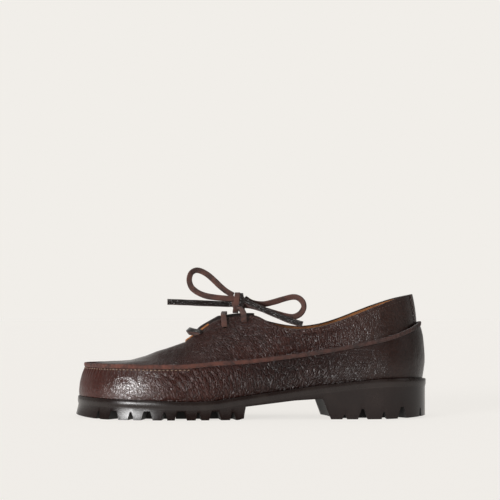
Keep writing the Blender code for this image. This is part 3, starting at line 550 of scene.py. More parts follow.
def outward(surface, turn, way):
    """Direction square to the upper, out of the shoe."""
    turn, way = as_arrays(turn, way)
    step, turn_step = 0.02, 0.002
    up = surface(turn, np.minimum(way + step, 1.0)) - surface(turn, np.maximum(way - step, 0.0))
    along = surface(turn + turn_step, way) - surface(turn - turn_step, way)
    return unit(np.cross(up, along))


def offset(surface, turn, way, distance):
    """Points of a surface, moved out of the shoe by a distance."""
    turn, way = as_arrays(turn, way)
    out = outward(surface, turn, way)
    return surface(turn, way) + np.broadcast_to(distance, turn.shape)[..., None] * out


def strap_turn():
    """Turn at the back strap's edge, where the outline is half a strap away from the middle."""
    fall = 1 - math.sqrt(1 - (STRAP_WIDTH / HEEL_WIDTH) ** 2)
    return float(turn_of(HEEL_ROUND * fall))


def topline_turn(share, side=-1):
    """Turn whose meridian ends at a share of the topline, on the outer (-1) or inner side (1)."""
    turn = turn_of((share - BACK) / (1 - BACK / THROAT))
    return turn if side < 0 else 1 - turn


def height_of(turn):
    """Way up the quarter in metres, from behind the seam to the topline."""
    return np.linalg.norm(topline_point(turn) - top_point(turn, 0.0), axis=-1)


def eyelet_place(eyelet, side, lift):
    """Middle of an eyelet at a height over the leather, and the direction out of the shoe."""
    turn = float(topline_turn(eyelet.share, side))
    return offset(top_point, turn, eyelet.way, lift), outward(top_point, turn, eyelet.way)


# Relief of the leather

def waves(points, size, seed):
    """Smooth noise from -1 to 1 at points, with hills of a size in metres."""
    flat = points.reshape(-1, 3) / size + seed
    values = [noise.noise(Vector(p)) for p in flat]
    return np.array(values).reshape(points.shape[:-1])


def unevenness(points, layers):
    return sum(depth * waves(points, size, seed) for depth, size, seed in layers)


def crease_depth(points, creases):
    """Height of the creases at points: a soft trough along each line with a low ridge beside it."""
    x, z = points[..., 0], points[..., 2]
    total = np.zeros(x.shape)
    for crease in creases:
        shown = np.ones(x.shape) if crease.side == 0 else (points[..., 1] * crease.side > 0)
        span = np.array((crease.x1 - crease.x0, crease.z1 - crease.z0))
        length = float(np.hypot(*span))
        along = ((x - crease.x0) * span[0] + (z - crease.z0) * span[1]) / length**2
        across = ((x - crease.x0) * -span[1] + (z - crease.z0) * span[0]) / length
        across = across - crease.bend * 4 * along * (1 - along)
        fade = ease(along, -0.15, 0.25) * (1 - ease(along, 0.7, 1.15)) * shown
        trough = np.exp(-((across / crease.wide) ** 2))
        ridge = np.exp(-(((across - 1.7 * crease.wide) / crease.wide) ** 2))
        total += crease.deep * fade * (0.55 * ridge - trough)
    return total


def gathers(turn, count=GATHERS, start=0.0):
    """Even folds from -1 to 1, the same on both sides of the shoe."""
    return np.sin(half_turn_of(turn) * 2 * math.pi * count + start)


def panel_relief(points, turn, way):
    """Lower panel: gathers under the seam round the toe, creases at the side, soft unevenness."""
    toe = ease(half_turn_of(turn), *turn_of(GATHERS_START))
    gather = gathers(turn) * toe * ease(way, 0.55, 0.97)
    ends = ease(way, 0.0, 0.12) * (1 - ease(way, 0.93, 1.0))
    soft = unevenness(points, PANEL_WAVES)
    return PANEL_GATHER * gather + ends * (soft + crease_depth(points, PANEL_CREASES))


def top_relief(points, turn, way):
    """Quarters and apron: creases from walking and from the lace's pull, soft unevenness."""
    ends = ease(way, 0.0, 0.10) * (1 - ease(way, 0.90, 1.0))
    toe = ease(half_turn_of(turn), turn_of(THROAT), turn_of(THROAT + 0.04))
    creases = crease_depth(points, QUARTER_CREASES) * (1 - toe)
    creases += crease_depth(points, APRON_CREASES) * toe
    soft = unevenness(points, TOP_WAVES)
    gather = gathers(turn) * toe * (1 - ease(way, 0.02, 0.14))
    return APRON_GATHER * gather + ends * (soft + creases)


# Meshes

def put_in_scene(name, data):
    """A new object of a mesh, a light or a camera."""
    made = bpy.data.objects.new(name, data)
    bpy.context.scene.collection.objects.link(made)
    return made


def new_object(name, vertices, edges, faces, materials):
    mesh = bpy.data.meshes.new(name)
    mesh.from_pydata([tuple(v) for v in vertices], edges, faces)
    for material in materials:
        mesh.materials.append(material)
    return put_in_scene(name, mesh)


def new_piece(name, vertices, faces, materials, smooth_angle=40, face_slots=None):
    made = new_object(name, vertices, [], faces, materials)
    if face_slots is not None:
        made.data.polygons.foreach_set("material_index", face_slots)
    tidy(made, smooth_angle)
    return made


def tidy(piece, smooth_angle):
    """Turns the faces outward and smooths all but the sharp edges."""
    body = bmesh.new()
    body.from_mesh(piece.data)
    bmesh.ops.remove_doubles(body, verts=body.verts[:], dist=1e-7)
    bmesh.ops.recalc_face_normals(body, faces=body.faces[:])
    for face in body.faces:
        face.smooth = True
    for edge in body.edges:
        edge.smooth = edge.calc_face_angle(0.0) < math.radians(smooth_angle)
    body.to_mesh(piece.data)
    body.free()


def tube_faces(rings, count, close_rings):
    """Quads between successive rings, each ring closed on itself."""
    ring = np.arange(rings if close_rings else rings - 1)[:, None]
    here = ring * count
    there = (ring + 1) % rings * count
    k = np.arange(count)[None, :]
    after = (k + 1) % count
    quads = np.stack((here + k, here + after, there + after, there + k), axis=-1)
    return quads.reshape(-1, 4).tolist()


def ring_body(name, rings, materials, smooth_angle=40):
    """Hollow body through closed rings, the last joined to the first."""
    faces = tube_faces(len(rings), len(rings[0]), close_rings=True)
    return new_piece(name, np.concatenate(rings), faces, materials, smooth_angle)


def sheet_body(name, outer, inner, materials, smooth_angle=40):
    """Closed body between two open grids of points with the same rows and columns."""
    rows, columns = outer.shape[:2]
    points = np.concatenate((outer.reshape(-1, 3), inner.reshape(-1, 3)))
    other = rows * columns
    index = np.arange(other).reshape(rows, columns)
    quads = np.stack((index[:-1, :-1], index[:-1, 1:], index[1:, 1:], index[1:, :-1]), axis=-1)
    quads = quads.reshape(-1, 4)
    faces = quads.tolist() + (quads[:, ::-1] + other).tolist()
    rim = [*index[0], *index[1:, -1], *index[-1, -2::-1], *index[-2:0:-1, 0]]
    for a, b in zip(rim, rim[1:] + rim[:1]):
        faces.append((a, b, other + b, other + a))
    return new_piece(name, points, faces, materials, smooth_angle)


def end_faces(rings, count):
    """The two faces that close a tube."""
    last = (rings - 1) * count
    return [tuple(range(count)), tuple(last + k for k in reversed(range(count)))]


def loft_body(sections):
    """Points and faces of a closed body through sections of as many points each."""
    count = len(sections[0])
    faces = tube_faces(len(sections), count, close_rings=False) + end_faces(len(sections), count)
    return [p for section in sections for p in section], faces


def flat_ends(rings, count):
    """Quads across the first and the last of rings that go once round the shoe."""
    faces = []
    for base in (0, (rings - 1) * count):
        for k in range(count // 2):
            corners = (k, k + 1, count - k - 1, (count - k) % count)
            faces.append(tuple(base + c for c in dict.fromkeys(corners)))
    return faces


def cut_away(piece, bodies):
    """Cuts closed bodies out of a piece, for good."""
    points, faces = [], []
    for body_points, body_faces in bodies:
        start = len(points)
        points += list(body_points)
        faces += [tuple(start + c for c in face) for face in body_faces]
    tool = new_piece("cutter", points, faces, [])
    modifier = piece.modifiers.new("cut", "BOOLEAN")
    modifier.operation = "DIFFERENCE"
    modifier.solver = "EXACT"
    modifier.object = tool
    settle(piece)
    bpy.data.objects.remove(tool)


def settle(piece):
    """Applies the piece's modifiers."""
    graph = bpy.context.evaluated_depsgraph_get()
    mesh = bpy.data.meshes.new_from_object(piece.evaluated_get(graph), depsgraph=graph)
    piece.modifiers.clear()
    piece.data = mesh


def soften(piece, width, angle=35):
    """Rounds the piece's sharp edges."""
    modifier = piece.modifiers.new("round", "BEVEL")
    modifier.width = width
    modifier.segments = 2
    modifier.angle_limit = math.radians(angle)
    modifier.harden_normals = False
    settle(piece)


# Materials

def linear(hex_colour):
    """An sRGB hex colour as linear red, green, blue and 1."""
    values = [int(hex_colour[i:i + 2], 16) / 255 for i in (1, 3, 5)]
    return (*(v / 12.92 if v <= 0.04045 else ((v + 0.055) / 1.055) ** 2.4 for v in values), 1.0)


def feed(tree, node, inputs):
    """Sets a node's inputs to values, or links them to the sockets that feed them."""
    for name, value in inputs.items():
        if isinstance(value, bpy.types.NodeSocket):
            tree.links.new(value, node.inputs[name])
        else:
            node.inputs[name].default_value = value


def add_node(tree, kind, inputs=None, **settings):
    made = tree.nodes.new(kind)
    for name, value in settings.items():
        setattr(made, name, value)
    feed(tree, made, inputs or {})
    return made


def new_material(name):
    """A material with its shader, and Object coordinates for its patterns."""
    material = bpy.data.materials.new(name)
    material.use_nodes = True
    tree = material.node_tree
    shader = tree.nodes["Principled BSDF"]
    where = add_node(tree, "ShaderNodeTexCoord").outputs["Object"]
    return material, tree, shader, where


def blend_colours(tree, factor, first, second):
    mixer = add_node(tree, "ShaderNodeMix", {0: factor, 6: first, 7: second}, data_type="RGBA")
    return mixer.outputs[2]


def span(tree, value, low, high, to_low=0.0, to_high=1.0):
    """A value's place between low and high, eased, as a number between two others."""
    mapper = add_node(tree, "ShaderNodeMapRange", {
        "Value": value, "From Min": low, "From Max": high, "To Min": to_low, "To Max": to_high,
    }, interpolation_type="SMOOTHSTEP")
    return mapper.outputs["Result"]


def compute(tree, operation, first, second=0.5, third=0.5):
    made = add_node(tree, "ShaderNodeMath", {0: first, 1: second, 2: third}, operation=operation)
    return made.outputs[0]


def split(tree, where):
    return add_node(tree, "ShaderNodeSeparateXYZ", {0: where}).outputs


def scaled(tree, colour, factor):
    """A colour made lighter or darker."""
    return add_node(tree, "ShaderNodeVectorMath", {0: colour, "Scale": factor},
                    operation="SCALE").outputs[0]


def clouds(tree, where, size, detail, roughness, out="Fac"):
    """Cloudy pattern from 0 to 1, with that many clouds in a metre."""
    return add_node(tree, "ShaderNodeTexNoise", {
        "Vector": where, "Scale": size, "Detail": detail, "Roughness": roughness}).outputs[out]


def share_out(tree, first, first_share, second, second_share):
    part = compute(tree, "MULTIPLY", first, first_share)
    return compute(tree, "MULTIPLY_ADD", second, second_share, part)


def bumps(tree, height, depth, strength=1.0):
    return add_node(tree, "ShaderNodeBump", {
        "Height": height, "Distance": depth, "Strength": strength}).outputs[0]


def pebbles(tree, where, width, tall, lean, middle):
    """Pebbled grain: 1 on the flat tops and 0 in the valleys. Tall pebbles lean to the heel by
    this slope, about a middle height."""
    apart = split(tree, where)
    rise = compute(tree, "SUBTRACT", middle, apart["Z"])
    upright = compute(tree, "MULTIPLY_ADD", rise, lean, apart["X"])
    placed = add_node(tree, "ShaderNodeCombineXYZ", {
        "X": upright, "Y": apart["Y"], "Z": apart["Z"]}).outputs[0]
    sized = add_node(tree, "ShaderNodeVectorMath", {
        0: placed, 1: (1 / width, 1 / width, 1 / tall)}, operation="MULTIPLY").outputs[0]
    cells = add_node(tree, "ShaderNodeTexVoronoi", {
        "Vector": sized, "Scale": 1.0, "Randomness": 0.78}, feature="DISTANCE_TO_EDGE")
    return span(tree, cells.outputs["Distance"], 0.0, VALLEY)


def tumbled_leather(name, tones, roughness, depth, width, tall, leans, middle=0.0, gloss=0.0):
    """Tumbled full-grain pull-up leather. Flat pebbles part by fine valleys whose edges catch
    the light, and the wax in it gives soft highlights. The valleys are darkened with painted
    shade in the base colour. The grain is drawn coarser than it is, so that it shows. It is
    stretched into upright folds where the foot bends, and is almost smooth on the toe and
    the heel."""
    material, tree, shader, where = new_material(name)
    along = split(tree, where)["X"]
    bent = add_node(tree, "ShaderNodeVectorMath", {
        0: clouds(tree, where, 170.0, 2.0, 0.5, "Color"), 1: (GRAIN_BEND,) * 3, 2: where},
        operation="MULTIPLY_ADD").outputs[0]
    lean = span(tree, along, *LEAN_PLACES, *leans)
    round_ones = pebbles(tree, bent, width, 1.25 * width, lean, middle)
    small_ones = pebbles(tree, bent, 0.55 * width, 0.6 * width, lean, middle)
    tall_ones = pebbles(tree, bent, 0.9 * width, tall, lean, middle)
    plain = share_out(tree, round_ones, 0.65, small_ones, 0.35)
    folded = share_out(tree, plain, 0.25, tall_ones, 0.75)
    bending = compute(tree, "MULTIPLY", span(tree, along, *FOLDS_START),
                      span(tree, along, *FOLDS_END))
    valleys = add_node(tree, "ShaderNodeMix", {0: bending, 2: plain, 3: folded}).outputs[0]
    on_toe = span(tree, along, FOLDS_START[1], FOLDS_START[0], 1.0, SMOOTH_TOE)
    on_heel = span(tree, along, FOLDS_END[1], FOLDS_END[0], 1.0, SMOOTH_HEEL)
    swell = clouds(tree, where, 260.0, 2.0, 0.5)
    height = compute(tree, "MULTIPLY_ADD", swell, 1.6, valleys)
    height = compute(tree, "MULTIPLY", height, compute(tree, "MULTIPLY", on_toe, on_heel))
    bump = bumps(tree, height, depth)
    patches = clouds(tree, where, 38.0, 4.0, 0.6)
    shifted = compute(tree, "MULTIPLY_ADD", patches, 0.05, along)
    colour = linear(tones[0][2])
    for start, end, tone in tones[1:]:
        colour = blend_colours(tree, span(tree, shifted, start, end), colour, linear(tone))
    blotch = span(tree, patches, 0.35, 0.70, 0.84, 1.18)
    # Painted shade: the base colour is darkened to half at the bottoms of the grain's valleys
    dark = compute(tree, "MULTIPLY_ADD", valleys, 0.50, 0.50)
    polished = compute(tree, "MULTIPLY", span(tree, along, *WAX_START), span(tree, along, *WAX_END))
    feed(tree, shader, {
        "Base Color": scaled(tree, colour, compute(tree, "MULTIPLY", blotch, dark)),
        "Roughness": compute(tree, "MULTIPLY_ADD", patches, 0.20, roughness - 0.10),
        "Normal": bump,
        "IOR": 1.38,
        "Coat Weight": compute(tree, "MULTIPLY_ADD", polished, WAX_TOE, WAX_ELSEWHERE + gloss),
        "Coat Normal": bump,
        "Coat Roughness": 0.18,
    })
    return material


def cut_leather(name, colour, dark, fibre, at_heel=1.0):
    """Cut and suede leather: the edge or flesh side, matt and fibrous with a fine nap. It can be
    darker at the heel."""
    material, tree, shader, where = new_material(name)
    nap = clouds(tree, where, 1 / fibre, 5.0, 0.7)
    mixed = share_out(tree, nap, 0.4, clouds(tree, where, 120.0, 3.0, 0.6), 0.6)
    colour = blend_colours(tree, span(tree, mixed, 0.36, 0.62), linear(dark), linear(colour))
    if at_heel != 1.0:
        tone = span(tree, split(tree, where)["X"], -0.09, 0.10, 1.0, at_heel)
        colour = scaled(tree, colour, tone)
    feed(tree, shader, {
        "Base Color": colour, "Normal": bumps(tree, nap, 0.00045), "Roughness": 0.82,
        "Sheen Weight": 0.10, "Sheen Roughness": 0.5,
    })
    return material


def moulded_rubber(name, colour, worn, roughness):
    """Moulded rubber: near black with a soft satin gloss, slightly uneven, a little dusty."""
    material, tree, shader, where = new_material(name)
    dust = clouds(tree, where, 60.0, 6.0, 0.65)
    skin = clouds(tree, where, 1800.0, 3.0, 0.6)
    feed(tree, shader, {
        "Base Color": blend_colours(tree, span(tree, dust, 0.38, 0.72), linear(colour),
                                    linear(worn)),
        "Roughness": compute(tree, "MULTIPLY_ADD", dust, 0.20, roughness - 0.10),
        "Normal": bumps(tree, skin, 0.00006, 0.6),
        "IOR": 1.42,
    })
    return material


def waxed_thread(name, colour):
    """Waxed linen thread: pale, twisted, with a faint gloss."""
    material, tree, shader, where = new_material(name)
    tone = span(tree, clouds(tree, where, 2500.0, 2.0, 0.5), 0.3, 0.7)
    pale, dark = linear(colour), tuple(0.45 * c for c in linear(colour)[:3]) + (1.0,)
    feed(tree, shader, {"Base Color": blend_colours(tree, tone, dark, pale), "Roughness": 0.55})
    return material


# Pieces of the sole

def dull_faces(piece, slot):
    """Gives a material slot to all that isn't the sole's side wall: tread, gaps and grooves."""
    edge = outline(all_round(SOLE_TURNS), 0.0)
    for face in piece.data.polygons:
        x, y, z = face.center
        away = np.hypot(edge[:, 0] - x, edge[:, 1] - y).min()
        top = follow(SOLE_TOP, "height", 0.5 - x / LENGTH)
        if z < top - BAND_HEIGHT and (away > WALL_BAND or abs(face.normal.z) > 0.8):
            face.material_index = slot


def outsole_piece(materials):
    """The moulded unit. Its materials are those of the band, the wall and the underside."""
    turns = all_round(SOLE_TURNS)
    share = share_of(turns)
    flare = TOE_FLARE * share
    low = 0.75 * flare
    rings = [at_height(outline(turns, BAND_PROUD * (1 - share)), sole_floor(share))]
    for inset, above in (
        (BAND_PROUD + low, -BAND_HEIGHT - BAND_FADE), (0.35 * BAND_PROUD + low, -BAND_HEIGHT),
        (low, -BAND_HEIGHT + BAND_ROUND), (0.95 * flare, -BAND_ROUND),
        (flare + 0.3 * BAND_ROUND, -0.3 * BAND_ROUND), (flare + BAND_ROUND, 0.0),
    ):
        rings.append(on_sole(outline(turns, inset), above))
    walls = tube_faces(len(rings), SOLE_TURNS, close_rings=False)
    ends = flat_ends(len(rings), SOLE_TURNS)
    slots = [1] * SOLE_TURNS + [0] * (len(walls) - SOLE_TURNS) + [1] * len(ends)
    piece = new_piece("rubber_unit", np.concatenate(rings), walls + ends, materials, 30, slots)
    for bodies in ([waist_hollow()], lug_gaps(), channels(), cross_grooves()):
        cut_away(piece, bodies)
    tidy(piece, 30)
    soften(piece, LUG_ROUND)
    dull_faces(piece, 2)
    return piece


def waist_hollow():
    """The hollow under the arch. Its rear side is the heel's front face, hollowed and skewed."""
    sections = []
    for y in (BALL_WIDTH / 2 + CUT) * np.linspace(-1.0, 1.0, 17):
        side = np.clip(y / (HEEL_WIDTH / 2), -1.0, 1.0)
        breast = BREAST_HOLLOW * (1 - side * side) - BREAST_SKEW * (side + 1) / 2
        front = WAIST_PROFILE[0]
        section = [np.array((x_at(front.share), y, front.height - CUT))]
        section += [np.array((x_at(row.share), y, row.height)) for row in WAIST_PROFILE]
        section[-1][0] += breast
        section += [np.array((x_at(BREAST_FOOT) + breast, y, z)) for z in (0.0, -CUT)]
        sections.append(section)
    return loft_body(sections)


def lug_gaps():
    """Wedges between the side lugs, square to the outline on both sides."""
    bodies = []
    for gap in GAPS:
        slope = (gap.foot - gap.top) / 2 / gap.depth
        foot, top = gap.foot / 2 + slope * CUT, gap.top / 2
        height = float(sole_floor(gap.share)) + gap.depth
        corners = ((-foot, -CUT), (foot, -CUT), (top, height), (-top, height))
        for turn in both_sides(gap.share):
            into = at_height(inward(turn), 0.0)
            along = np.array((-into[1], into[0], 0.0))
            edge = at_height(outline(turn, 0.0), 0.0)
            bodies.append(loft_body([[edge + way * into + half * along + (0, 0, z)
                                      for half, z in corners] for way in (-CUT, LUG_REACH)]))
    return bodies


def channels():
    """Grooves behind the side lugs, one round the forefoot and one round the heel."""
    bodies = []
    heel_end = float(turn_of(CHANNEL_ENDS[1]))
    for first, last in (both_sides(CHANNEL_ENDS[0]), (-heel_end, heel_end)):
        sections = []
        for turn in np.linspace(first, last, 61):
            near, far = (outline(turn, inset) for inset in (LUG_REACH - GAP,
                                                            LUG_REACH + CHANNEL_WIDTH))
            top = float(sole_floor(share_of(turn))) + CHANNEL_DEPTH
            corners = ((near, -CUT), (far, -CUT), (far, top), (near, top))
            sections.append([at_height(flat, height) for flat, height in corners])
        bodies.append(loft_body(sections))
    return bodies


def cross_grooves():
    """Cross grooves that part the middle of the tread into bars."""
    bodies = []
    half = CHANNEL_WIDTH / 2
    for share in GROOVES:
        outer, inner = (outline(turn, LUG_REACH + half)[1] for turn in both_sides(share))
        corners = ((-half, outer), (half, outer), (half, inner), (-half, inner))
        bodies.append(loft_body([[np.array((x_at(share) + dx, y, height)) for dx, y in corners]
                                 for height in (-CUT, CHANNEL_DEPTH)]))
    return bodies


def insole_piece(material):
    """Footbed with a soft edge, laid on the sole inside the upper."""
    turns = all_round(ROUND_TURNS // 2)
    inset = follow(UPPER, "edge", share_of(turns)) + WALL + 3 * GAP
    rings = []
    for more, height in ((0.0, GAP), (0.0, 0.7 * INSOLE_THICK), (0.0006, GAP + INSOLE_THICK),
                         (0.0060, GAP + 0.9 * INSOLE_THICK), (0.0120, GAP + 0.85 * INSOLE_THICK)):
        rings.append(on_sole(outline(turns, inset + more), height))
    faces = tube_faces(len(rings), len(turns), close_rings=False)
    faces += flat_ends(len(rings), len(turns))
    return new_piece("footbed", np.concatenate(rings), faces, [material], 60)


# Pieces of the upper

def lower_panel_piece(material):
    """Panel that wraps the foot all round, from the sole up to the raised seam."""
    turns = all_round(ROUND_TURNS)
    outer = []
    for way in np.linspace(0.0, 1.0, PANEL_ROWS):
        points = panel_point(turns, way)
        relief = panel_relief(points, turns, way)
        outer.append(offset(panel_point, turns, way, relief))
    inner = [offset(panel_point, turns, way, LINING + FIT - WALL) for way in (1.0, 0.7, 0.3, 0.0)]
    inner[-1] = on_sole(inner[-1], GAP)
    return ring_body("lower_panel", outer + inner, [material])


def seam_piece(material):
    """The panel's own edge, turned up and sewn: cut leather that stands proud of both sides."""
    turns = all_round(ROUND_TURNS)
    line = seam_point(turns, 0.0, 0.0)
    wobble = SEAM_GATHER * gathers(turns, SEAM_GATHERS, 0.6) + unevenness(line, SEAM_SWAY)
    lift = unevenness(line, SEAM_LIFT)
    soft = SEAM_ROUND
    profile = (
        (SEAM_PROUD, SEAM_HEIGHT + soft), (0.0000, SEAM_HEIGHT), (-0.0001, 0.5 * SEAM_HEIGHT),
        (0.0000, soft), (soft, 0.0), (SEAM_THICK - soft, 0.0), (SEAM_THICK, soft),
        (SEAM_THICK, SEAM_RISE + 0.0006), (SEAM_THICK, SEAM_HEIGHT),
    )
    rings = []
    for inset, drop in profile:
        free = 1.0 - ease(drop, 0.5 * SEAM_HEIGHT, SEAM_HEIGHT)
        rings.append(seam_point(turns, inset + wobble * free, drop - lift * free))
    return ring_body("seam_edge", rings, [material], 60)


def apron_piece(material):
    """Toe apron, sewn inside the raised seam, with a soft lip at the throat."""
    turns, ways = grid(*both_sides(THROAT - 0.025), APRON_TURNS, APRON_ROWS)
    relief = top_relief(top_point(turns, ways), turns, ways)
    outer = offset(top_point, turns, ways, relief - FIT)
    inner = offset(top_point, turns, ways, LINING + FIT - WALL)
    foot = seam_point(turns, SEAM_THICK - FIT, SEAM_RISE)
    under = seam_point(turns, SEAM_THICK - FIT, SEAM_RISE + WALL - LINING)
    outer, inner = np.concatenate((foot, outer)), np.concatenate((under, inner))
    return sheet_body("apron", outer, inner, [material])


def eyelet_hole(eyelet, side):
    """Round cutter through the leather at an eyelet."""
    spot, out = eyelet_place(eyelet, side, 0.0)
    first = unit(np.cross(out, (0.0, 1.0, 0.0)))
    second = np.cross(out, first)
    angles = 2 * math.pi * all_round(20)
    return loft_body([[spot + depth * out + EYELET_RADIUS
                       * (math.cos(a) * first + math.sin(a) * second) for a in angles]
                      for depth in (-CUT, CUT)])


def quarter_piece(name, side, material):
    """Quarter with its facing, from the throat round to the middle of the back."""
    turns, ways = grid(0.0005, float(turn_of(THROAT)), QUARTER_TURNS, QUARTER_ROWS)
    turns = turns if side < 0 else 1 - turns
    relief = top_relief(top_point(turns, ways), turns, ways)
    edge = CUT_ROUND * ease(ways, 0.97, 1.0)
    outer = offset(top_point, turns, ways, QUARTER_STEP + relief - edge)
    fold = ease((1 - ways) * height_of(turns), COLLAR_FOLD, 0.8 * COLLAR_FOLD)
    depth = (FIT + LINING - WALL) * (1 - fold) - (WALL + FIT) * fold
    inner = offset(top_point, turns, ways, depth)
    piece = sheet_body(name, outer, inner, [material])
    cut_away(piece, [eyelet_hole(eyelet, side) for eyelet in EYELETS])
    tidy(piece, 40)
    return piece


def lining_piece(material):
    """Leather lining of the whole inside, up to the collar's fold."""
    turns = all_round(ROUND_TURNS)
    height = height_of(turns)
    low = ease(half_turn_of(turns), topline_turn(0.590), topline_turn(0.615))
    top = 1 - 1.1 * COLLAR_FOLD / height + low * (1.1 * COLLAR_FOLD + LINING_SHOWS) / height
    faces = []
    for depth in (LINING - WALL, -WALL):
        rows = [offset(panel_point, turns, way, depth) for way in np.linspace(0.0, 0.96, 8)]
        rows[0] = on_sole(rows[0], GAP)
        rows += [offset(top_point, turns, way * top, depth)
                 for way in np.linspace(0.0, 1.0, LINING_ROWS)]
        faces.append(rows)
    return ring_body("lining", faces[0] + faces[1][::-1], [material], 60)


def back_strap_piece(material):
    """Strap over the quarters' joint at the back."""
    edge = strap_turn()
    turns, ways = grid(-edge, edge, STRAP_TURNS, STRAP_ROWS)
    soft = CUT_ROUND * ease(np.abs(turns), 0.93 * edge, edge)
    relief = 0.6 * top_relief(top_point(turns, ways), turns, ways)
    edge_round = CUT_ROUND * ease(ways, 0.97, 1.0)
    thick = QUARTER_STEP + STRAP_STEP
    outer = offset(top_point, turns, ways, thick + relief - soft - edge_round)
    inner = offset(top_point, turns, ways, QUARTER_STEP + relief + 0.2 * FIT - edge_round)
    return sheet_body("back_strap", outer, inner, [material])


def tongue_row(share):
    """Points across the tongue: under one facing, over the crest, under the other."""
    turn = topline_turn(share)
    depth = -(WALL + TONGUE_GAP)
    ways = np.array((0.70, 0.80, 0.90, 1.0))
    outer = offset(top_point, turn, ways, depth)
    inner = offset(top_point, 1 - turn, ways[::-1], depth)
    left, right = outer[-1], inner[0]
    full = ease(share, TONGUE_FULL[0], TONGUE_FULL[1]) * (1 - ease(share, *TONGUE_FULL[2:]))
    crest = follow(CREST, "height", share) + TONGUE_SWELL * full
    part = np.linspace(0.0, 1.0, 15)[1:-1][:, None]
    middle = left + (right - left) * part
    middle[:, 2:] += (crest - middle[:, 2:]) * (1 - (2 * part - 1) ** 2)
    return np.concatenate((outer, middle, inner))


def tongue_piece(material):
    rows = [tongue_row(share) for share in np.linspace(TONGUE_FIRST, TONGUE_LAST, TONGUE_ROWS)]
    front = topline_point(0.5)
    tucked = rows[-1].copy()
    tucked[:, 0] = front[0] - TONGUE_TUCK
    tucked[:, 1] = front[1] + (rows[-1][:, 1] - front[1]) * 0.5
    tucked[:, 2] = front[2] - WALL - 5 * TONGUE_THICK
    last = rows[-1]
    rows += [last + (tucked - last) * t for t in (0.2, 0.4, 0.6, 0.8, 1.0)]
    outer = np.array(rows)
    along = np.gradient(outer, axis=0)
    across = np.gradient(outer, axis=1)
    normal = unit(np.cross(along, across))
    normal = normal * np.where(normal[..., 2:] < 0, -1.0, 1.0)
    inner = outer - TONGUE_THICK * normal
    outer = outer + unevenness(outer, TONGUE_WAVES)[..., None] * normal
    return sheet_body("tongue_leather", outer, inner, [material], 50)


# Thong

def columns_at(wanted, places, values):
    """Values of three columns, given at places, at the wanted places between them."""
    return np.column_stack([np.interp(wanted, places, values[:, k]) for k in range(3)])


def smooth_route(points, step):
    """Evenly spaced points on a smooth curve through a route's own points."""
    route = [np.array(p, float) for p in points]
    route = [2 * route[0] - route[1]] + route + [2 * route[-1] - route[-2]]
    t = all_round(12)[:, None]
    fine = [0.5 * (2 * b + (c - a) * t + (2 * a - 5 * b + 4 * c - d) * t**2
                   + (3 * b - a - 3 * c + d) * t**3)
            for a, b, c, d in zip(route, route[1:], route[2:], route[3:])]
    fine = np.concatenate(fine + [route[-2][None, :]])
    steps = np.linalg.norm(np.diff(fine, axis=0), axis=1)
    lengths = np.concatenate(([0.0], np.cumsum(steps)))
    count = max(4, round(lengths[-1] / step))
    return columns_at(np.linspace(0.0, lengths[-1], count + 1), lengths, fine)


def strip_profile():
    """Cross-section of the thong, as points across and up."""
    half_w, half_t = THONG_WIDTH / 2 - THONG_ROUND, THONG_THICK / 2 - THONG_ROUND
    corners = []
    for sign_a, sign_b, start in ((1, 1, 0), (-1, 1, 90), (-1, -1, 180), (1, -1, 270)):
        for angle in np.radians(start + 30 * np.arange(4)):
            corners.append((sign_a * half_w + THONG_ROUND * math.cos(angle),
                            sign_b * half_t + THONG_ROUND * math.sin(angle)))
    return corners


GRAIN_FACES = (2, 3, 4)     # sides of the cross-section that show grain


def thong_strip(name, route, ups, materials, turned=False, closed=False, swell=1.0):
    """Flat strip of leather along a route. Ups give the direction that its grain side faces."""
    along = unit(np.gradient(route, axis=0))
    if closed:
        along = unit(np.roll(route, -1, axis=0) - np.roll(route, 1, axis=0))
    ups = unit(ups - (ups * along).sum(axis=1, keepdims=True) * along)
    sides = np.cross(along, ups)
    uneven = 1 + 0.07 * waves(route, 0.009, 0.0)
    corners = strip_profile()
    fuller = 1 + (swell - 1) * np.sin(np.linspace(0, math.pi, len(route)))
    rings = np.array([[centre + side * a * more + up * b * full for a, b in corners]
                      for centre, side, up, more, full in zip(route, sides, ups, uneven, fuller)])
    count = len(corners)
    faces = tube_faces(len(route), count, close_rings=closed)
    grain = [(k + count // 2) % count if turned else k for k in range(count)]
    slots = [0 if k in GRAIN_FACES else 1 for k in grain] * (len(faces) // count)
    if not closed:
        faces += end_faces(len(route), count)
        slots += [1, 1]
    return new_piece(name, rings.reshape(-1, 3), faces, materials, 50, slots)


def crossing_piece(bar, materials):
    """Lace from eyelet to eyelet, out of one hole, over both facings and the tongue, and in."""
    eyelet = EYELETS[bar.eyelet]
    lift = QUARTER_STEP + GAP + THONG_THICK / 2
    near, ups = [], []
    for way, lean, above in (
        (eyelet.way + 0.01, 0.0, -EYELET_DIVE), (eyelet.way + 0.01, 0.0, 0.0002),
        (0.93, 0.35, 0.0006), (1.0, 0.7, 0.0008),
    ):
        turn = topline_turn(eyelet.share + lean * bar.forward / LENGTH)
        near.append(offset(top_point, turn, way, lift + above))
        ups.append(outward(top_point, turn, way))
    share = eyelet.share + bar.forward / LENGTH
    crest = follow(CREST, "height", share) + bar.over + 2 * GAP + THONG_THICK / 2
    near[-1] = near[-1] + (0.0, 0.0, bar.over / 2)
    across = topline_point(topline_turn(share)) + topline_point(1 - topline_turn(share))
    middle = np.array((across[0] / 2, across[1] / 2, crest))
    mirrored = np.array((1.0, -1.0, 1.0))
    shift = np.array((0.0, across[1], 0.0))
    points = near + [middle] + [p * mirrored + shift for p in reversed(near)]
    ups = ups + [np.array(bar.crest_up)] + [u * mirrored for u in reversed(ups)]
    route = smooth_route(points, STRAND_STEP / 2)
    spots = np.linspace(0, len(points) - 1, len(route))
    ups = columns_at(spots, range(len(points)), np.array(ups))
    return thong_strip(bar.name, route, ups, materials, bar.flesh_out, swell=bar.swell)


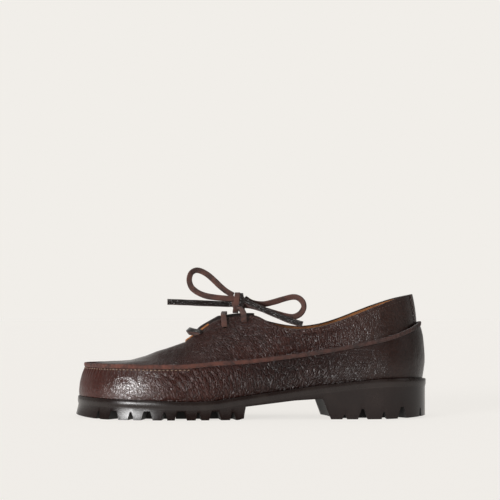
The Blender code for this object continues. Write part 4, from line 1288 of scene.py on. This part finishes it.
def leg_points(side):
    """From a top eyelet up over the facing and into the knot's side."""
    spot, out = eyelet_place(EYELETS[-1], side, QUARTER_STEP + 2 * GAP + THONG_THICK / 2)
    turn = float(topline_turn(EYELETS[-1].share, side))
    over = offset(top_point, turn, 1.0, QUARTER_STEP + 3 * GAP + THONG_THICK / 2)
    entry = np.array(KNOT_PLACE) + (0.0008, side * KNOT_SIZE[1] / 2, -0.0040)
    inside = spot - EYELET_DIVE * out
    return [inside, spot, over, entry + (0.0, side * 0.0020, 0.0), entry]


def facing_ups(route, facings):
    """Directions that the grain side faces: each is given at a part of the way along the strip."""
    given = np.array(facings)
    return columns_at(np.linspace(0, 1, len(route)), given[:, 0], given[:, 1:])


def knot_pieces(materials):
    """Knot: a core of crossing strands and two turns of the thong round it."""
    centre = np.array(KNOT_PLACE)
    pieces = []
    half_y, half_z = KNOT_SIZE[1] / 2 - THONG_THICK / 2, KNOT_SIZE[2] / 2 - THONG_THICK / 2
    for name, dx, lean, swell in (("knot_turn_front", -0.0020, 0.0009, 1.0),
                                  ("knot_turn_back", 0.0021, -0.0007, 0.93)):
        angles = 2 * math.pi * all_round(48)
        rounded = np.sign(np.cos(angles)) * np.abs(np.cos(angles)) ** 0.75
        y = half_y * swell * rounded
        z = half_z * swell * np.sign(np.sin(angles)) * np.abs(np.sin(angles)) ** 0.85
        route = centre + place(dx + lean * np.sin(angles), y, z)
        ups = place(0.0, y / half_y**2, z / half_z**2)
        pieces.append(thong_strip(name, route, ups, materials, name.endswith("front"), True))
    return pieces


def knot_core(material):
    """Strands drawn together inside the knot's turns."""
    body = bmesh.new()
    bmesh.ops.create_icosphere(body, subdivisions=4, radius=1.0)
    mesh = bpy.data.meshes.new("knot_core")
    x, y, z = KNOT_CORE
    for vertex in body.verts:
        p = vertex.co.copy()
        groove = 0.10 * math.sin(9 * p.z) * (1 - abs(p.z))
        vertex.co = Vector(KNOT_PLACE) + Vector((
            p.x * (x - 0.0006 * abs(p.y)), p.y * (y + 0.003 * groove), p.z * z))
    body.to_mesh(mesh)
    body.free()
    mesh.materials.append(material)
    made = put_in_scene("knot_core", mesh)
    tidy(made, 60)
    return made


# Stitches

def stitch_tree():
    """Node tree that sets a row of stitches along a line."""
    tree = bpy.data.node_groups.new("stitch row", "GeometryNodeTree")
    for name, kind in (("Line", "Geometry"), ("Pitch", "Float"), ("Length", "Float"),
                       ("Thickness", "Float"), ("Thread", "Material"), ("Stitches", "Geometry")):
        tree.interface.new_socket(name, in_out="OUTPUT" if name == "Stitches" else "INPUT",
                                  socket_type="NodeSocket" + kind)
    given = add_node(tree, "NodeGroupInput").outputs
    line = add_node(tree, "GeometryNodeMeshToCurve", {"Mesh": given["Line"]})
    even = add_node(tree, "GeometryNodeResampleCurve", {
        "Curve": line.outputs[0], "Length": given["Pitch"]}, mode="LENGTH")
    one = add_node(tree, "GeometryNodeMeshUVSphere", {"Segments": 6, "Rings": 5, "Radius": 0.5})
    along = add_node(tree, "GeometryNodeInputTangent")
    turned = add_node(tree, "FunctionNodeAlignRotationToVector", {"Vector": along.outputs[0]},
                      axis="Z")
    sizes = add_node(tree, "ShaderNodeCombineXYZ", {
        "X": given["Thickness"], "Y": given["Thickness"], "Z": given["Length"]})
    placed = add_node(tree, "GeometryNodeInstanceOnPoints", {
        "Points": even.outputs[0], "Instance": one.outputs["Mesh"],
        "Rotation": turned.outputs[0], "Scale": sizes.outputs[0]})
    real = add_node(tree, "GeometryNodeRealizeInstances", {"Geometry": placed.outputs[0]})
    painted = add_node(tree, "GeometryNodeSetMaterial", {
        "Geometry": real.outputs[0], "Material": given["Thread"]})
    add_node(tree, "NodeGroupOutput", {"Stitches": painted.outputs[0]})
    return tree


def stitch_row(name, tree, points, stitch, thread):
    """Row of stitches along a line of points, as a plain mesh."""
    edges = [(i, i + 1) for i in range(len(points) - 1)]
    made = new_object(name, points, edges, [], [])
    modifier = made.modifiers.new("stitches", "NODES")
    modifier.node_group = tree
    values = dict(zip(("Pitch", "Length", "Thickness", "Thread"), (*stitch, thread)))
    for item in tree.interface.items_tree:
        if item.name in values and item.in_out == "INPUT":
            modifier[item.identifier] = values[item.name]
    settle(made)
    made.data.shade_smooth()
    return made


def stitch_pieces(pale, dark):
    tree = stitch_tree()
    last = float(turn_of(THROAT))
    toe = np.linspace(last - 0.004, 1 - last + 0.004, 400)
    panel_height = seam_top(share_of(toe)) - SEAM_HEIGHT
    below = 1 - 0.0013 / (panel_height - 0.016)
    points = offset(panel_point, toe, below, panel_relief(panel_point(toe, below), toe, below))
    rows = [stitch_row("seam_stitches", tree, points, SEAM_STITCH, pale)]
    for label, side in (("outer", -1), ("inner", 1)):
        def edge_line(shares, inset):
            turns = topline_turn(shares, side)
            ways = 1 - inset / height_of(turns)
            relief = top_relief(top_point(turns, ways), turns, ways)
            return offset(top_point, turns, ways, QUARTER_STEP + relief)

        def upright_line(turn, low, high, lift):
            return offset(top_point, np.full(80, turn), np.linspace(low, high, 80), lift)

        strap = strap_turn() * 0.93
        front = last - 0.0016
        lines = (
            ("collar", edge_line(np.linspace(0.085, 0.50, 300), 0.0032)),
            ("facing", edge_line(np.linspace(0.50, THROAT - 0.006, 160), 0.0026)),
            ("strap", upright_line(-side * strap, 0.06, 0.96, QUARTER_STEP + STRAP_STEP)),
            ("front_edge", upright_line(front if side < 0 else 1 - front, 0.05, 0.95,
                                        QUARTER_STEP)),
        )
        for part, line in lines:
            rows.append(stitch_row(f"{part}_stitches_{label}", tree, line, FINE_STITCH, dark))
    return rows


# Camera, light and floor

def camera():
    data = bpy.data.cameras.new("camera")
    data.sensor_width = SENSOR
    data.lens = SENSOR * CAMERA_DISTANCE / VIEW_WIDTH
    data.shift_y = CAMERA_SHIFT
    made = put_in_scene("camera", data)
    made.location = (CAMERA_SIDE, -CAMERA_DISTANCE, CAMERA_HEIGHT)
    made.rotation_euler = (math.radians(90), 0.0, 0.0)
    bpy.context.scene.camera = made


def soft_sun(name, azimuth, elevation, spread, strength):
    """Distant soft light. Azimuth 0 is in front of the outer side, and 90 is behind the heel."""
    data = bpy.data.lights.new(name, "SUN")
    data.energy = strength
    data.angle = math.radians(spread)
    made = put_in_scene(name, data)
    turn, rise = math.radians(azimuth), math.radians(elevation)
    source = Vector((math.sin(turn) * math.cos(rise), -math.cos(turn) * math.cos(rise),
                     math.sin(rise)))
    made.rotation_euler = (-source).to_track_quat("-Z", "Y").to_euler()


def studio():
    """Pale floor in a pale room that is darker in front, with soft lights from left, right, top."""
    paper = linear("#f1eee9")
    world = bpy.data.worlds.new("studio")
    world.use_nodes = True
    tree = world.node_tree
    lit = tree.nodes["Background"]
    way = add_node(tree, "ShaderNodeTexCoord").outputs["Generated"]
    behind = span(tree, split(tree, way)["Y"], -0.35, 0.45, ROOM_FRONT, ROOM_BACK)
    feed(tree, lit, {"Color": paper, "Strength": behind})
    seen = add_node(tree, "ShaderNodeBackground", {"Color": paper, "Strength": 1.0})
    direct = add_node(tree, "ShaderNodeLightPath").outputs["Is Camera Ray"]
    both = add_node(tree, "ShaderNodeMixShader", {0: direct, 1: lit.outputs[0], 2: seen.outputs[0]})
    tree.links.new(both.outputs[0], tree.nodes["World Output"].inputs["Surface"])
    bpy.context.scene.world = world
    for light in LIGHTS:
        soft_sun(*light)
    bpy.context.scene.view_settings.view_transform = "Standard"
    material, tree, shader, where = new_material("matt studio paper")
    fibre = clouds(tree, where, 400.0, 3.0, 0.5)
    feed(tree, shader, {
        "Base Color": blend_colours(tree, fibre, linear("#858381"), linear("#898785")),
        "Roughness": 0.9, "Specular IOR Level": 0.1,
        "Emission Color": paper, "Emission Strength": PAPER_GLOW,
    })
    corners = [(x * FLOOR_REACH, y * FLOOR_REACH, 0.0)
               for x, y in ((-1, -1), (1, -1), (1, 1), (-1, 1))]
    new_object("floor", corners, [], [(0, 1, 2, 3)], [material])


# Putting the shoe together

def finish_piece(piece, slot, *nodes):
    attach(piece, "root")
    if nodes:
        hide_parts(*nodes)


def dress_sole():
    # Satin black rubber, the band along its upper edge a shade lighter, the underside matt
    rubber = [moulded_rubber("moulded rubber, " + part, colour, worn, roughness)
              for part, colour, worn, roughness in (("band", "#1a1210", "#231b18", 0.28),
                                                    ("wall", "#140a08", "#1b110e", 0.24),
                                                    ("underside", "#0c0908", "#181311", 0.70))]
    finish_piece(outsole_piece(rubber), "sole_rubber", "outsole")
    # Vegetable-tanned footbed: warm tan, matt
    bed = cut_leather("vegetable-tanned footbed leather", "#8a5a34", "#6e4424", fibre=0.0008)
    finish_piece(insole_piece(bed), "insole_leather", "insole")


def dress_upper():
    # Dark red-brown pull-up leather, redder on the toe and greyer on the counter
    grain = tumbled_leather("tumbled pull-up leather", PANEL_TONES, roughness=0.31, depth=0.00070,
                            width=0.0026, tall=0.0090, leans=(-0.35, 0.60), middle=0.034)
    top = tumbled_leather("tumbled pull-up leather, quarters", QUARTER_TONES, roughness=0.32,
                          depth=0.00074, width=0.0027, tall=0.0070, leans=(-1.30, -0.10),
                          middle=0.062)
    # Tongue: the same leather, hardly worn and without gloss. Its darker tones are painted
    # shade, for the shadow of the knot and the bow over it
    shaded_tongue = tumbled_leather("tumbled pull-up leather, tongue, with painted shade", TONGUE_SHADED_TONES, roughness=0.62,
                          depth=0.0003, width=0.0024, tall=0.0050, leans=(0.0, 0.0))
    # Raw edge of the same leather, reddish and fibrous
    raw = cut_leather("cut leather edge", "#5c3023", "#2c1610", fibre=0.0007, at_heel=0.34)
    # Tan lining leather with a fine nap
    tan = cut_leather("tan lining leather", "#a86c38", "#875226", fibre=0.0007, at_heel=0.62)
    finish_piece(lower_panel_piece(grain), "upper_leather", "upper")
    for piece in (seam_piece(raw), apron_piece(top), quarter_piece("quarter_outer", -1, top),
                  quarter_piece("quarter_inner", 1, top), back_strap_piece(top)):
        finish_piece(piece, "upper_leather")
    finish_piece(lining_piece(tan), "insole_leather")
    finish_piece(tongue_piece(shaded_tongue), "upper_leather", "tongue")
    pale = waxed_thread("waxed linen thread, pale", "#9a8470")
    dark = waxed_thread("waxed linen thread, brown", "#4a332b")
    for row in stitch_pieces(pale, dark):
        finish_piece(row, "upper_leather")


def strand(name, points, facings, materials, far_end, *nodes):
    """A loop or an end of the bow, from the knot or from its eyelet to its far end."""
    route = smooth_route(points, STRAND_STEP)
    piece = thong_strip(name, route, facing_ups(route, facings), materials)
    finish_piece(piece, "lace_leather", *nodes)


def dress_lace():
    # Thong: waxed grain on one side, brown flesh side and edges on the others
    shiny = tumbled_leather("waxed thong leather, grain side", THONG_TONES, roughness=0.24,
                            depth=0.00110, width=0.0019, tall=0.0026, leans=(0.6, 0.6), gloss=0.80)
    suede = cut_leather("thong leather, flesh side", "#4f2e24", "#2a1812", fibre=0.0005)
    materials = [shiny, suede]
    for bar in BARS:
        finish_piece(crossing_piece(bar, materials), "lace_leather", bar.node)
    turns = knot_pieces(materials)
    finish_piece(knot_core(suede), "lace_leather", "lace_knot")
    for turn in turns:
        finish_piece(turn, "lace_leather")
    strand("bow_loop_toe", LOOP_TOE, FACING_LOOP_TOE, materials, "knot", "lace_loop_toe")
    strand("bow_loop_heel", LOOP_HEEL, FACING_LOOP_HEEL, materials, "knot", "lace_loop_heel")
    strand("thong_end_toe", leg_points(1) + list(END_TOE), FACING_END_TOE, materials, "bare",
           "lace_leg_inner", "lace_end_toe")
    strand("thong_end_heel", leg_points(-1) + list(END_HEEL), FACING_END_HEEL, materials, "bare",
           "lace_leg_outer", "lace_end_heel")


camera()
studio()
dress_sole()
dress_upper()
dress_lace()
